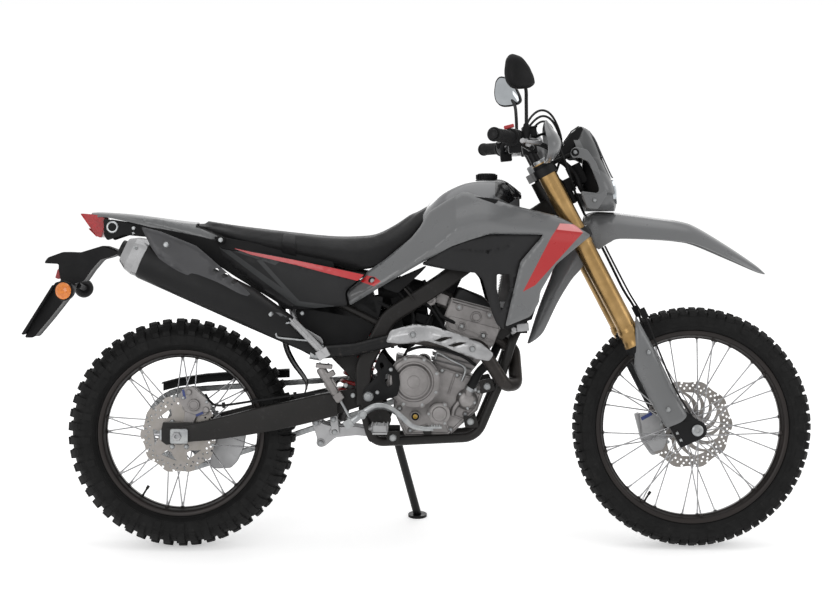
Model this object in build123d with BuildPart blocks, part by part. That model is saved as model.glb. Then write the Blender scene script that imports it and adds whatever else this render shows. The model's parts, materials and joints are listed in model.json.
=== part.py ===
"""Dual sport motorcycle, parked on its side stand, as an assembly of separate sub-parts.

Every sub-part is drawn upright in the bike frame, in millimetres: x forward from the rear axle,
y to the rider's left, z up from the floor. The last section leans the whole bike onto its side
stand and moves it to the row frame, whose origin is on the floor below the middle of its box.
"""

import json
import os
from math import cos, radians, sin, sqrt

from build123d import *

# ---------------------------------------------------------------- driving dimensions
wheelbase = 1455.0
rake = 27.5  # steering axis from the vertical, degrees
trail = 109.0
lean = 10.0  # parked lean to the left, degrees

front_tyre_radius = 341.0  # to the lug tips
front_tyre_half_width = 45.0
front_rim_radius = 266.7  # bead seat of a 21 inch rim
front_rim_half_width = 27.0
rear_tyre_radius = 325.0
rear_tyre_half_width = 62.0
rear_rim_radius = 228.6  # bead seat of an 18 inch rim
rear_rim_half_width = 34.0
crown_radius = 75.0  # of both treads' crowns, across the tyre
lug_height = 11.0

rim_depth = 12.0  # from the bead seat in to the spoke holes
rim_flange = 8.0  # flange height over the bead seat
spoke_radius = 1.8
spoke_sweep = 56.0  # between a spoke's head and its foot, degrees
axle_radius = 10.0
axle_bore_radius = 6.0
front_axle_half, rear_axle_half = 130.0, 131.0  # half the axles' lengths
axle_nut_in = 121.5  # nuts' inner faces, just outside the fork ends and the swingarm
axle_nut_radius = 15.0
running_clearance = 0.05

fork_offset = 20.0  # fork legs ahead of the steering axis
fork_half_spacing = 101.0
fork_tube_radius = 27.0
fork_slider_radius = 21.5
panel_thickness = 4.0
bar_ahead, bar_height, bar_radius = 13.0, 1270.0, 11.0  # handlebar, from the steering axis
pivot_x, pivot_z = 537.0, 439.0  # swingarm pivot
muffler_y = -168.0  # muffler's middle plane

rear_axle_z = rear_tyre_radius
front_axle_z = front_tyre_radius

# ---------------------------------------------------------------- frames and helpers
steer_sin, steer_cos = sin(radians(rake)), cos(radians(rake))
steer_foot_x = wheelbase + trail  # where the steering axis meets the floor


def on_fork(ahead, y, height):
    """A point given ahead of the steering axis and up along it, in the bike frame."""
    return Vector(
        steer_foot_x + ahead * steer_cos - height * steer_sin,
        y,
        ahead * steer_sin + height * steer_cos,
    )


def fork_plane(ahead, y, height):
    """A plane square to the steering axis: its x is ahead, its y is left."""
    return Plane(
        origin=on_fork(ahead, y, height),
        x_dir=(steer_cos, 0, steer_sin),
        z_dir=(-steer_sin, 0, steer_cos),
    )


bar_mid = on_fork(bar_ahead, 0, bar_height)


def from_front_axle(points):
    """Points whose x is counted from the front axle, in the bike frame."""
    return [(wheelbase + x, *rest) for x, *rest in points]


def from_bar(points):
    """Points given from the middle of the handlebar, in the bike frame."""
    return [(bar_mid.X + x, *rest, bar_mid.Z + z) for x, *rest, z in points]


def round_bar(points, radius, bends):
    """A round bar along straight runs joined by tangent arcs of the given bend radii."""
    with BuildPart() as bar:
        with BuildLine() as route:
            if len(points) == 2:
                Line(*points)
            else:
                FilletPolyline(*points, radius=bends)
        with BuildSketch(Plane(origin=route.line @ 0, z_dir=route.line % 0)):
            Circle(radius)
        sweep(path=route.line)
    return bar.part


def flat_bar(points, width, depth, bends):
    """A rectangular bar, width across the side view's normal and depth in it."""
    with BuildPart() as bar:
        with BuildLine() as route:
            if len(points) == 2:
                Line(*points)
            else:
                FilletPolyline(*points, radius=bends)
        along = route.line % 0
        with BuildSketch(Plane(origin=route.line @ 0, x_dir=Vector(0, 1, 0).cross(along), z_dir=along)):
            RectangleRounded(depth, width, min(depth, width) * 0.3)
        sweep(path=route.line)
    return bar.part


def side_plate(outline, y_low, y_high):
    """A plate with an outline of (x, z) points, from y_low to y_high."""
    with BuildPart() as made:
        with BuildSketch(Plane.XZ.offset(-y_high)):
            Polygon(*outline, align=None)
        extrude(amount=y_high - y_low)
    return made.part


def brick(centre, size):
    """A box about a centre."""
    with BuildPart() as made:
        with Locations(centre):
            Box(*size)
    return made.part


def side_disc(x, z, radius, y_low, y_high, bore=0.0):
    """A round plate or a ring with its axis along y."""
    with BuildPart() as made:
        with BuildSketch(Plane.XZ.offset(-y_high)):
            with Locations((x, z)):
                Circle(radius)
                if bore:
                    Circle(bore, mode=Mode.SUBTRACT)
        extrude(amount=y_high - y_low)
    return made.part


def turned(x, z, profile):
    """A solid turned about the wheel axis at (x, z); profile is (y, radius) points."""
    with BuildPart() as made:
        with BuildSketch(Plane(origin=(x, 0, z), x_dir=(0, 1, 0), z_dir=(-1, 0, 0))):
            Polygon(*[(y, r) for y, r in profile], align=None)
        revolve(axis=Axis((x, 0, z), (0, 1, 0)))
    return made.part


def arched(sections, thickness):
    """A thin arched shell along x. Each row: x, half_width, z_edge, z_crown."""
    with BuildPart() as made:
        for x, wide, z_edge, z_crown in sections:
            with BuildSketch(Plane.YZ.offset(x)):
                with BuildLine():
                    ThreePointArc((-wide, z_edge), (0, z_crown), (wide, z_edge))
                    Line((wide, z_edge), (wide - thickness, z_edge))
                    ThreePointArc((wide - thickness, z_edge), (0, z_crown - thickness),
                                  (thickness - wide, z_edge))
                    Line((thickness - wide, z_edge), (-wide, z_edge))
                make_face()
        loft()
    return made.part


def right_skin(sections, thickness=None):
    """A curved wall on the right side. Each row: x, then (y, z) points from top to bottom; the wall
    grows inwards, towards +y, by its thickness."""
    wall = thickness or panel_thickness
    with BuildPart() as made:
        for x, *outer in sections:
            inner = [(y + wall, z) for y, z in reversed(outer)]
            with BuildSketch(Plane.YZ.offset(x)):
                Polygon(*outer, *inner, align=None)
        loft(ruled=True)
    return made.part


def panel(outline, sections, thickness=None, hole=None):
    """A right hand panel: the skin inside a side outline, less an optional hole."""
    with BuildPart() as made:
        add(right_skin(sections, thickness))
        add(side_plate(outline, -400, 0), mode=Mode.INTERSECT)
        if hole:
            add(side_plate(hole, -400, 0), mode=Mode.SUBTRACT)
    return made.part


def mirrored(shape):
    """The left hand twin of a right hand piece."""
    return mirror(shape, about=Plane.XZ)


def joined(*shapes):
    """Pieces fused to one solid."""
    with BuildPart() as made:
        for shape in shapes:
            add(shape)
    return made.part


def cut(shape, *others):
    """The shape less its neighbours, so that they meet face to face."""
    left = shape
    for other in others:
        left = left - other
    return left


def apart(*shapes):
    """Pieces that don't touch, kept as separate solids of one node."""
    return Compound([solid for shape in shapes for solid in shape.solids()])


def half_profiles(rows):
    """A symmetrical solid through sections of arcs on a flat bottom. Each row: x, z_bottom,
    half_bottom, half_widest, z_widest, half_shoulder, z_shoulder, z_top."""
    with BuildPart() as made:
        for x, z_low, half_low, wide, z_wide, shoulder, z_shoulder, z_top in rows:
            with BuildSketch(Plane.YZ.offset(x)):
                with BuildLine():
                    Line((-half_low, z_low), (half_low, z_low))
                    ThreePointArc((half_low, z_low), (wide, z_wide), (shoulder, z_shoulder))
                    ThreePointArc((shoulder, z_shoulder), (0, z_top), (-shoulder, z_shoulder))
                    ThreePointArc((-shoulder, z_shoulder), (-wide, z_wide), (-half_low, z_low))
                make_face()
        loft()
    return made.part


def upright_arch(sections, thickness, origin_x=0.0):
    """A thin arched shell along z. Each row: z, half_width, x_edge, x_crown, from origin_x."""
    with BuildPart() as made:
        for z, wide, x_edge, x_crown in sections:
            grow = thickness if x_crown > x_edge else -thickness
            with BuildSketch(Plane.XY.offset(z).shift_origin((origin_x, 0, z))):
                with BuildLine():
                    ThreePointArc((x_edge, -wide), (x_crown, 0), (x_edge, wide))
                    Line((x_edge, wide), (x_edge, wide - thickness))
                    ThreePointArc((x_edge, wide - thickness), (x_crown - grow, 0), (x_edge, thickness - wide))
                    Line((x_edge, thickness - wide), (x_edge, -wide))
                make_face()
        loft()
    return made.part


nodes = {}  # name: (shape, body)


def keep(name, body, shape):
    nodes[name] = (shape, body)
    return shape


# ---------------------------------------------------------------- wheels
# Each row: name, axle x, axle z, tyre radius, tyre half width, rim bead radius, rim half width,
# hub flange radius, hub end right and left, disc or sprocket seat right and left, seat radius,
# spoke count, lug pitches around the tyre
wheel_table = [
    ("front", wheelbase, front_axle_z, front_tyre_radius, front_tyre_half_width, front_rim_radius,
     front_rim_half_width, 33.0, 60.0, 64.0, 52.0, 58.0, 34.0, 36, 36),
    ("rear", 0.0, rear_axle_z, rear_tyre_radius, rear_tyre_half_width, rear_rim_radius,
     rear_rim_half_width, 40.0, 84.0, 88.0, 68.0, 75.0, 44.0, 32, 38),
]
hub_flange_half_spacing = 27.0
hub_flange_thickness = 5.0
hub_barrel_radius = 20.0


def knobbly_tyre(x, z, tip_r, half, bead_r, rim_w, pitches):
    """A faceted tyre whose slices hold a middle lug and a pair of shoulder lugs in turn."""
    step = 180 / pitches
    grow = 1 / cos(radians(step / 2))  # keeps the flats of the slices at the true radius
    middle, inner = half * 0.4, half * 0.52

    def crown(y, lift):
        return tip_r - lug_height + lift - crown_radius + sqrt(crown_radius**2 - y**2)

    # both slices share one line between the lugs, so that the step from one to the next has few faces
    shoulder, groove = crown(half, 0) - 2, crown(middle, 0)
    under_lug = groove + (shoulder - groove) * (inner - middle) / (half - middle)
    side = [(rim_w - 3, bead_r), (rim_w - 3, bead_r + rim_flange + 0.6), (half, (bead_r + tip_r) / 2 - 4)]
    treads = [
        [(half, shoulder), (middle, groove), (middle, crown(middle, lug_height))],
        [(half, shoulder + lug_height), (inner, crown(inner, lug_height)), (inner, under_lug),
         (middle, groove)],
    ]
    slices = []
    for turn, tread in enumerate(treads):
        right = [(y, r * grow) for y, r in side + tread]
        with BuildPart() as slice_part:
            for edge in (turn - 0.5, turn + 0.5):
                angle = radians(edge * step - 90)
                radial = Plane(origin=(x, 0, z), x_dir=(0, 1, 0), z_dir=(-sin(angle), 0, cos(angle)))
                with BuildSketch(radial):
                    Polygon(*right, *[(-y, r) for y, r in reversed(right)], align=None)
            loft(ruled=True)
        slices += [slice_part.part.rotate(Axis((x, 0, z), (0, 1, 0)), 2 * step * n) for n in range(pitches)]
    return slices[0].fuse(*slices[1:])


for (name, x, z, tyre_r, tyre_w, bead_r, rim_w, flange_r, hub_right, hub_left, disc_seat, left_seat,
     seat_r, spokes, pitches) in wheel_table:
    body = f"{name}_wheel"
    tyre = knobbly_tyre(x, z, tyre_r, tyre_w, bead_r, rim_w, pitches)
    rim_in = bead_r - rim_depth
    rim = turned(x, z, [
        (-rim_w, bead_r + rim_flange), (-rim_w + 3, bead_r + rim_flange), (-rim_w + 3, bead_r),
        (rim_w - 3, bead_r), (rim_w - 3, bead_r + rim_flange), (rim_w, bead_r + rim_flange),
        (rim_w, bead_r - 2), (10, rim_in), (-10, rim_in), (-rim_w, bead_r - 2),
    ])
    keep(f"{name}_tyre", body, cut(tyre, rim))
    keep(f"{name}_rim", body, rim)
    bore = axle_radius + running_clearance
    flange_out = hub_flange_half_spacing + hub_flange_thickness
    barrel = hub_barrel_radius
    hub = turned(x, z, [
        (-hub_right, bore), (-hub_right, barrel - 3), (-disc_seat, barrel - 3), (-disc_seat, seat_r),
        (-disc_seat + 8, seat_r), (-disc_seat + 8, barrel + 3), (-flange_out, barrel + 3),
        (-flange_out, flange_r), (-hub_flange_half_spacing, flange_r),
        (-hub_flange_half_spacing, barrel), (hub_flange_half_spacing, barrel),
        (hub_flange_half_spacing, flange_r), (flange_out, flange_r),
        (flange_out, barrel + 3), (left_seat - 8, barrel + 3), (left_seat - 8, seat_r),
        (left_seat, seat_r), (left_seat, barrel - 3), (hub_left, barrel - 3), (hub_left, bore),
    ])
    # laced spokes: heads on either face of a flange, ends side by side in the rim's well
    spoke_step = 360 / spokes
    spoke_set = []
    for n in range(spokes):
        side = 1 if n % 2 else -1
        outer = (n // 2) % 2
        hub_angle = n * spoke_step
        rim_angle = hub_angle + (spoke_sweep if outer else -spoke_sweep)
        head_y = side * (flange_out if outer else hub_flange_half_spacing)
        foot_y = side * (8.5 if outer else 3.0)
        head_r = flange_r - 5
        start = (x + head_r * cos(radians(hub_angle)), head_y, z + head_r * sin(radians(hub_angle)))
        end = (x + (rim_in + 1) * cos(radians(rim_angle)), foot_y, z + (rim_in + 1) * sin(radians(rim_angle)))
        spoke_set.append(round_bar([start, end], spoke_radius, None) - rim - hub)
    keep(f"{name}_hub", body, hub)
    keep(f"{name}_spokes", body, apart(*spoke_set))



def petal_disc(x, z, radius, petals, depth, inner, y_low, y_high, arms, hub_r, bolt_r):
    """A brake disc with a wavy rim, carried on curved arms from a hub ring."""
    wave = [
        (x + (radius - depth * (1 + cos(radians(4.5 * n * petals))) / 2) * cos(radians(4.5 * n)),
         z + (radius - depth * (1 + cos(radians(4.5 * n * petals))) / 2) * sin(radians(4.5 * n)))
        for n in range(80)
    ]
    with BuildPart() as made:
        add(side_plate(wave, y_low, y_high))
        add(side_disc(x, z, inner, y_low - 1, y_high + 1), mode=Mode.SUBTRACT)
        for n in range(arms):
            turn = 360 / arms * n
            spots = [
                (r * cos(radians(turn + bend)) + x, r * sin(radians(turn + bend)) + z)
                for r, bend in [(inner + 4, 28), (inner + 4, 40), (hub_r - 3, 10), (hub_r - 3, -12)]
            ]
            add(side_plate(spots, y_low, y_high))
        add(side_disc(x, z, hub_r, y_low, y_high))
        add(side_disc(x, z, bolt_r, y_low - 1, y_high + 1), mode=Mode.SUBTRACT)
    return made.part


front_disc_y, rear_disc_y = 60.0, -70.0
keep("front_disc", "front_wheel", petal_disc(
    wheelbase, front_axle_z, 128.0, 8, 5.0, 92.0, front_disc_y - 2, front_disc_y + 2, 6, 40.0, 18.0))
keep("rear_disc", "rear_wheel", petal_disc(
    0, rear_axle_z, 110.0, 8, 5.0, 78.0, rear_disc_y - 2, rear_disc_y + 2, 6, 46.0, 18.0))

sprocket_y, sprocket_radius = 78.0, 109.0
teeth = 45
tooth_wave = [
    ((sprocket_radius - (0 if n % 4 < 2 else 6)) * cos(radians(n * 90 / teeth)),
     rear_axle_z + (sprocket_radius - (0 if n % 4 < 2 else 6)) * sin(radians(n * 90 / teeth)))
    for n in range(4 * teeth)
]
with BuildPart() as sprocket:
    add(side_plate(tooth_wave, sprocket_y - 3, sprocket_y + 3))
    add(side_disc(0, rear_axle_z, 18, sprocket_y - 5, sprocket_y + 5), mode=Mode.SUBTRACT)
    with BuildSketch(Plane.XZ.offset(-sprocket_y - 5)):
        with Locations((0, rear_axle_z)):
            with PolarLocations(74, 6, start_angle=30):
                Circle(20)
    extrude(amount=10, mode=Mode.SUBTRACT)
keep("rear_sprocket", "rear_wheel", sprocket.part)


def axle(x, z, half, collar_in_right, collar_in_left, collar_out, collar_r):
    """A hollow axle with a nut at each end and a collar either side of the hub."""
    return turned(x, z, [
        (-half, axle_bore_radius), (-half, axle_nut_radius), (-axle_nut_in, axle_nut_radius),
        (-axle_nut_in, axle_radius), (-collar_out, axle_radius), (-collar_out, collar_r),
        (-collar_in_right, collar_r), (-collar_in_right, axle_radius), (collar_in_left, axle_radius),
        (collar_in_left, collar_r), (collar_out, collar_r), (collar_out, axle_radius),
        (axle_nut_in, axle_radius), (axle_nut_in, axle_nut_radius), (half, axle_nut_radius),
        (half, axle_bore_radius),
    ])


front_axle_solid = side_disc(wheelbase, front_axle_z, axle_radius, -126, 126)
rear_axle_solid = side_disc(0, rear_axle_z, axle_radius, -126, 126)
keep("front_axle", "steering", axle(wheelbase, front_axle_z, front_axle_half, 60.5, 64.5, 79, 16))
keep("rear_axle", "chassis", axle(0, rear_axle_z, rear_axle_half, 84.5, 88.5, 92.5, 16))

# ---------------------------------------------------------------- front fork and steering
head_low, head_high = 1008.0, 1176.0  # steering head, up along the steering axis
stem_radius = 14.0


def clamp(low, high, side_r, middle_r):
    """A triple clamp: fork holes either side of the steering axis."""
    with BuildPart() as made:
        with BuildSketch(fork_plane(0, 0, low)) as shape:
            with BuildSketch(mode=Mode.PRIVATE) as spots:
                with Locations((fork_offset, fork_half_spacing), (fork_offset, -fork_half_spacing)):
                    Circle(side_r)
                Circle(middle_r)
            make_hull(spots.sketch.edges())
            with Locations((fork_offset, fork_half_spacing), (fork_offset, -fork_half_spacing)):
                Circle(fork_tube_radius, mode=Mode.SUBTRACT)
        extrude(amount=high - low)
    return made.part


handlebar = keep("handlebar", "steering", round_bar(
    from_bar([(-111, -402, 20), (-59, -280, 18), (0, -120, 0), (0, 120, 0), (-59, 280, 18),
              (-111, 402, 20)]), bar_radius, [40, 60, 60, 40]))
with BuildPart() as clamps:
    add(clamp(974, 1004, 36, 34))
    add(clamp(1180, 1204, 34, 30))
    with BuildSketch(fork_plane(0, 0, 974)):
        Circle(stem_radius)
    extrude(amount=1216 - 974)
    for y in (-45, 45):
        with BuildSketch(fork_plane(bar_ahead, y, 1204)):
            Circle(15)
        extrude(amount=bar_height + 20 - 1204)
keep("triple_clamps", "steering", clamps.part - handlebar)

fork_tubes = []
sliders = []
for side in (-1, 1):
    y = side * fork_half_spacing
    with BuildPart() as tube:
        with BuildSketch(fork_plane(fork_offset, y, 640)):
            Circle(fork_tube_radius)
        extrude(amount=1218 - 640)
    fork_tubes.append(tube.part)
    with BuildPart() as slider:
        with BuildSketch(fork_plane(fork_offset, y, 345)):
            Circle(fork_slider_radius)
        extrude(amount=640 - 345)
        with BuildSketch(Plane.XZ.offset(-y - 20)):
            with Locations((wheelbase, front_axle_z)):
                Circle(27)
            Polygon(*[(on_fork(a, 0, h).X, on_fork(a, 0, h).Z) for a, h in
                      [(-5, 440), (45, 440), (88, 352), (60, 326), (-2, 330)]], align=None)
        extrude(amount=40)
    sliders.append(slider.part - front_axle_solid)
keep("fork_tubes", "steering", apart(*fork_tubes))

guard_outline = from_front_axle([(-174, 665), (-118, 566), (-73, 472), (-27, 383), (-87, 347), (-130, 422),
                 (-157, 475), (-176, 513), (-174, 576)])
with BuildPart() as guard:
    with BuildSketch(fork_plane(fork_offset + 4, -fork_half_spacing, 350)):
        Circle(38)
        Circle(34, mode=Mode.SUBTRACT)
    extrude(amount=400)
    add(side_plate(guard_outline, -200, -96), mode=Mode.INTERSECT)
guards = [guard.part - sliders[0], mirrored(guard.part) - sliders[1]]
keep("fork_guards", "steering", apart(*[cut(g, t) for g, t in zip(guards, fork_tubes)]))
keep("fork_sliders", "steering", apart(*sliders))

with BuildPart() as fender:
    add(arched(from_front_axle([
        (-297, 56, 880, 946), (-272, 59, 850, 950), (-240, 63, 862, 952), (-205, 66, 875, 951),
        (-145, 68, 875, 944), (-34, 68, 868, 926),
        (44, 60, 850, 889), (135, 44, 808, 832), (209, 14, 770, 777),
    ]), 4))
    add(upright_arch([
        (580, 10, -464, -471), (606, 26, -431, -463), (632, 34, -417, -453), (700, 46, -386, -429),
        (760, 54, -348, -405), (805, 58, -316, -389), (850, 60, -305, -365),
    ], 4, wheelbase))
    with BuildSketch(fork_plane(25, 0, 962)):
        Rectangle(110, 116)
    extrude(amount=12)
keep("front_fender", "steering", cut(fender.part, nodes["triple_clamps"][0]))

lens = upright_arch([(992, 66, -287, -209), (1012, 72, -289, -205), (1060, 70, -297, -223),
                     (1119, 52, -309, -251)], 14, wheelbase)
lens_outline = [(-275, 985), (-195, 985), (-195, 1030), (-240, 1121), (-275, 1119)]
lens = lens & side_plate(from_front_axle(lens_outline), -80, 80)
cowl = upright_arch([
    (954, 58, -285, -215), (1004, 96, -303, -211), (1040, 100, -297, -219), (1085, 92, -309, -241),
    (1125, 76, -325, -263), (1170, 54, -343, -293), (1200, 26, -329, -313),
], 4, wheelbase)
keep("headlamp", "steering", lens)
with BuildPart() as cowl_shell:
    add(cut(cowl, lens))
    for y in (-52, 52):
        with BuildSketch(fork_plane(70, y, 1186)):
            Rectangle(190, 12)
        extrude(amount=12)
keep("headlight_cowl", "steering", cut(cowl_shell.part, lens, clamps.part))
keep("meter", "steering", cut(side_plate(
    from_front_axle([(-385, 1112), (-357, 1170), (-319, 1192), (-333, 1150), (-359, 1104)]), -58, 58),
    cowl_shell.part))

grip = round_bar(from_bar([(-114, -410, 20.2), (-65, -295, 18.2)]), 17, None)
keep("grips", "steering", apart(cut(grip, handlebar), cut(mirrored(grip), handlebar)))

lever = joined(
    side_plate(from_bar([(-59, -4), (-21, -10), (-14, 28), (-49, 38)]), -285, -225),
    flat_bar(from_bar([(-24, -245, 14), (11, -262, 8), (-4, -330, 3), (-41, -412, 2)]), 12, 7, [12, 30]),
)
keep("controls", "steering", apart(
    cut(lever, handlebar, grip), cut(mirrored(lever), handlebar, mirrored(grip))))

knuckle = joined(
    upright_arch([(bar_mid.Z - 44, 60, bar_mid.X + 41, bar_mid.X + 63),
                  (bar_mid.Z - 20, 74, bar_mid.X + 37, bar_mid.X + 69),
                  (bar_mid.Z + 18, 74, bar_mid.X + 33, bar_mid.X + 71),
                  (bar_mid.Z + 66, 50, bar_mid.X + 21, bar_mid.X + 41)], 4).moved(Location((0, -250, 0))),
    flat_bar(from_bar([(-11, -205, 10), (63, -225, 10)]), 14, 10, None),
)
keep("hand_guards", "steering", apart(
    cut(knuckle, lever, handlebar), cut(mirrored(knuckle), mirrored(lever), handlebar)))

mirror_right = joined(
    round_bar(from_bar([(-31, -250, 28), (-18, -262, 78), (-15, -300, 130), (-34, -330, 160)]), 5, [20, 25]),
    side_plate(from_bar([(-64, 240), (-44, 236), (-9, 168), (-33, 147), (-61, 147), (-77, 173)]), -392, -284),
)
keep("mirrors", "steering", apart(
    cut(mirror_right, lever, handlebar), cut(mirrored(mirror_right), mirrored(lever), handlebar)))

caliper_outline = from_front_axle([(-155, 372), (-133, 276), (-83, 246), (-57, 290), (-93, 372)])
front_caliper = joined(
    side_plate(caliper_outline, 68, 86),
    side_plate(caliper_outline, 40, 52),
    side_plate(from_front_axle([(-155, 372), (-133, 276), (-124, 280), (-137, 372)]), 40, 86),
)
keep("front_caliper", "steering", cut(front_caliper, sliders[1]))

# ---------------------------------------------------------------- frame
with BuildPart() as frame:
    with BuildSketch(fork_plane(0, 0, head_low)):
        Circle(27)
        Circle(stem_radius + running_clearance, mode=Mode.SUBTRACT)
    extrude(amount=head_high - head_low)
head_tube = frame.part
head_clear = Cylinder(21, 400).locate(fork_plane(0, 0, 1090).location)
with BuildPart() as above_head:
    with BuildSketch(fork_plane(0, 0, head_high + 1)):
        Circle(70)
    extrude(amount=60)
with BuildPart() as below_head:
    with BuildSketch(fork_plane(0, 0, head_low - 1)):
        Circle(45)
    extrude(amount=-60)
above_head, below_head = above_head.part, below_head.part
head_joint = on_fork(-14, 0, 1098)  # where the spars and the down tube meet the head tube
spar = flat_bar([(head_joint.X, -16, head_joint.Z), (head_joint.X - 85, -48, head_joint.Z - 56),
                 (740, -104, 752), (590, -112, 655), (520, -112, 520), (522, -112, 412)],
                26, 46, [90, 120, 90, 60])
down_tube = round_bar([(head_joint.X, 0, head_joint.Z), (970, 0, 800), (960, 0, 630)], 20, [300])
cradle = round_bar([(962, -16, 628), (940, -76, 590), (897, -84, 455), (838, -84, 318), (545, -84, 304),
                    (522, -112, 400), (522, -112, 440)], 13, [25, 60, 60, 40, 25])
with BuildPart() as frame:
    add(head_tube)
    for piece in (spar, mirrored(spar), down_tube, cradle, mirrored(cradle)):
        add(cut(piece, head_clear, above_head, below_head))
    add(brick((962, 0, 628), (46, 60, 40)))
    add(side_disc(pivot_x, pivot_z, 17, -124, -98))
    add(side_disc(pivot_x, pivot_z, 17, 98, 124))
    add(round_bar([(545, -96, 318), (545, 96, 318)], 13, None))
    add(side_disc(700, 335, 12, -84, 84))

stand_pivot = Vector(610, 119, 300)
stand_axis = Vector(0, 0.95, 0.3122499)
stand_foot_x, stand_foot_y = 672.0, 268.0
stand_plane = Plane(origin=stand_pivot, x_dir=(1, 0, 0), z_dir=stand_axis)


def on_stand_pin(radius, low, high, bore=0.0):
    """A round piece about the side stand's pin, from low to high along it."""
    with BuildPart() as made:
        with BuildSketch(stand_plane.offset(low)):
            Circle(radius)
            if bore:
                Circle(bore, mode=Mode.SUBTRACT)
        extrude(amount=high - low)
    return made.part


pivot_bolt = side_disc(pivot_x, pivot_z, 8, -128, 128)
frame_all = joined(frame.part, pivot_bolt, on_stand_pin(15, -32, -12.3), on_stand_pin(6, -13, 14),
                   on_stand_pin(10, 12.3, 16))
keep("frame", "chassis", frame_all)

swingarm_arm = joined(
    side_plate([(-44, 345), (-40, 362), (56, 361), (232, 404), (403, 441), (448, 446), (448, 384),
                (403, 371), (232, 334), (56, 311), (-30, 300), (-44, 310)], -121, -93),
    side_plate([(405, 441), (500, 456), (560, 458), (566, 420), (520, 408), (405, 371)], -97, -70),
    side_disc(pivot_x, pivot_z, 24, -97, -70),
)
swingarm = joined(
    swingarm_arm, mirrored(swingarm_arm),
    side_plate([(380, 384), (380, 432), (430, 440), (430, 388)], -95, 95),
    side_disc(pivot_x, pivot_z, 24, -72, 72),
)
swingarm = keep("swingarm", "chassis", cut(swingarm, frame_all, rear_axle_solid))

# ---------------------------------------------------------------- engine
header = round_bar([(868, -14, 612), (946, -14, 562), (950, -86, 468), (916, -134, 468), (846, -147, 578),
                    (640, -150, 605), (500, -156, 570), (400, -162, 562)], 19, [32, 32, 32, 34, 60, 60])
header = keep("exhaust_header", "chassis", cut(header, frame_all))
engine = joined(
    side_plate([(612, 549), (604, 393), (637, 321), (760, 319), (842, 393), (859, 442), (846, 483),
                (801, 499), (735, 520)], -70, 60),
    side_disc(662, 477, 73, -112, -68), side_disc(733, 385, 31, -100, -68),
    side_disc(738, 425, 66, 58, 100),
    side_plate([(712, 512), (812, 484), (885, 575), (757, 645)], -58, 58),
    side_plate([(748, 658), (769, 711), (893, 678), (906, 624), (885, 573), (794, 602), (757, 620)], -68, 68),
    side_disc(607, 445, 12, 55, 76),
    side_disc(607, 445, 32, 75, 81),
)
engine = keep("engine", "chassis", cut(engine, frame_all, header))
keep("valve_cover", "chassis", cut(
    side_plate([(770, 700), (790, 740), (865, 718), (893, 670)], -62, 62), engine))

shield_plate = side_plate([(585, 590), (597, 622), (662, 640), (718, 634), (848, 586), (884, 557),
                           (872, 537), (787, 561), (698, 594), (662, 586), (589, 584)], -180, -176)
header_shield = joined(
    shield_plate, cut(joined(side_disc(624, 606, 9, -176, -150), side_disc(842, 582, 9, -176, -146)), header))

# muffler: rounded sections square to its own line. Each row: x, z, half depth, half width
muffler_line = Vector(-0.906, 0, 0.423)  # towards its outlet
outlet = Vector(-139.8, muffler_y, 833.0)
muffler_rows = [(-96, 826, 52, 55), (60, 756, 55, 58), (200, 690, 52, 54), (300, 632, 38, 42),
                (392, 570, 21, 21)]
with BuildPart() as muffler:
    for x, z, deep, wide in muffler_rows:
        with BuildSketch(Plane(origin=(x, muffler_y, z), x_dir=(0, 1, 0), z_dir=muffler_line)):
            RectangleRounded(2 * wide, 2 * deep, deep * 0.7)
    loft()
with BuildPart() as muffler_cap:
    for x, z, grow in ((-96, 826, 0), (-122, 838, -6)):
        with BuildSketch(Plane(origin=(x, muffler_y, z), x_dir=(0, 1, 0), z_dir=muffler_line)):
            RectangleRounded(2 * (55 + grow), 2 * (52 + grow), 34)
    loft()
    with BuildSketch(Plane(origin=(-122, muffler_y, 838), x_dir=(0, 1, 0), z_dir=muffler_line)):
        with Locations((0, 12)):
            Circle(20)
    extrude(amount=14)
    with BuildSketch(Plane(origin=outlet, x_dir=(0, 1, 0), z_dir=muffler_line)):
        Circle(17)
    extrude(amount=-40, mode=Mode.SUBTRACT)
muffler = keep("muffler", "chassis", cut(joined(muffler.part, muffler_cap.part), header))
keep("heat_shields", "chassis", apart(header_shield, side_plate([
    (-81, 912), (-13, 893), (58, 864), (107, 826), (168, 763), (240, 699), (316, 661), (282, 653),
    (172, 697), (147, 708), (50, 771), (-34, 830), (-72, 889)], muffler_y - 64, muffler_y - 58) - muffler))

# ---------------------------------------------------------------- tank, seat and panels
tank = half_profiles([
    (690, 880, 84, 99, 912, 72, 948, 958),
    (730, 880, 108, 134, 928, 92, 980, 994),
    (800, 890, 128, 152, 945, 92, 1022, 1037),
    (860, 915, 128, 145, 962, 86, 1032, 1046),
    (905, 935, 98, 112, 972, 66, 1032, 1045),
    (962, 958, 38, 47, 976, 34, 998, 1004),
])
with BuildPart() as fuel_cap:
    with BuildSketch(Plane.XY.offset(1030)):
        with Locations((869, 0)):
            Circle(37)
    extrude(amount=39)
keep("fuel_tank", "chassis", cut(joined(tank, fuel_cap.part), frame_all))

seat = half_profiles([
    (48, 912, 54, 61, 917, 48, 921, 925),
    (110, 890, 74, 84, 902, 60, 912, 916),
    (190, 857, 92, 105, 878, 76, 899, 905),
    (300, 835, 104, 117, 862, 84, 887, 893),
    (420, 811, 110, 123, 844, 88, 876, 882),
    (540, 791, 104, 113, 836, 82, 878, 885),
    (620, 841, 90, 99, 876, 72, 911, 919),
    (690, 898, 68, 82, 932, 56, 966, 975),
])
keep("seat", "chassis", cut(seat, nodes["fuel_tank"][0]))

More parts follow.
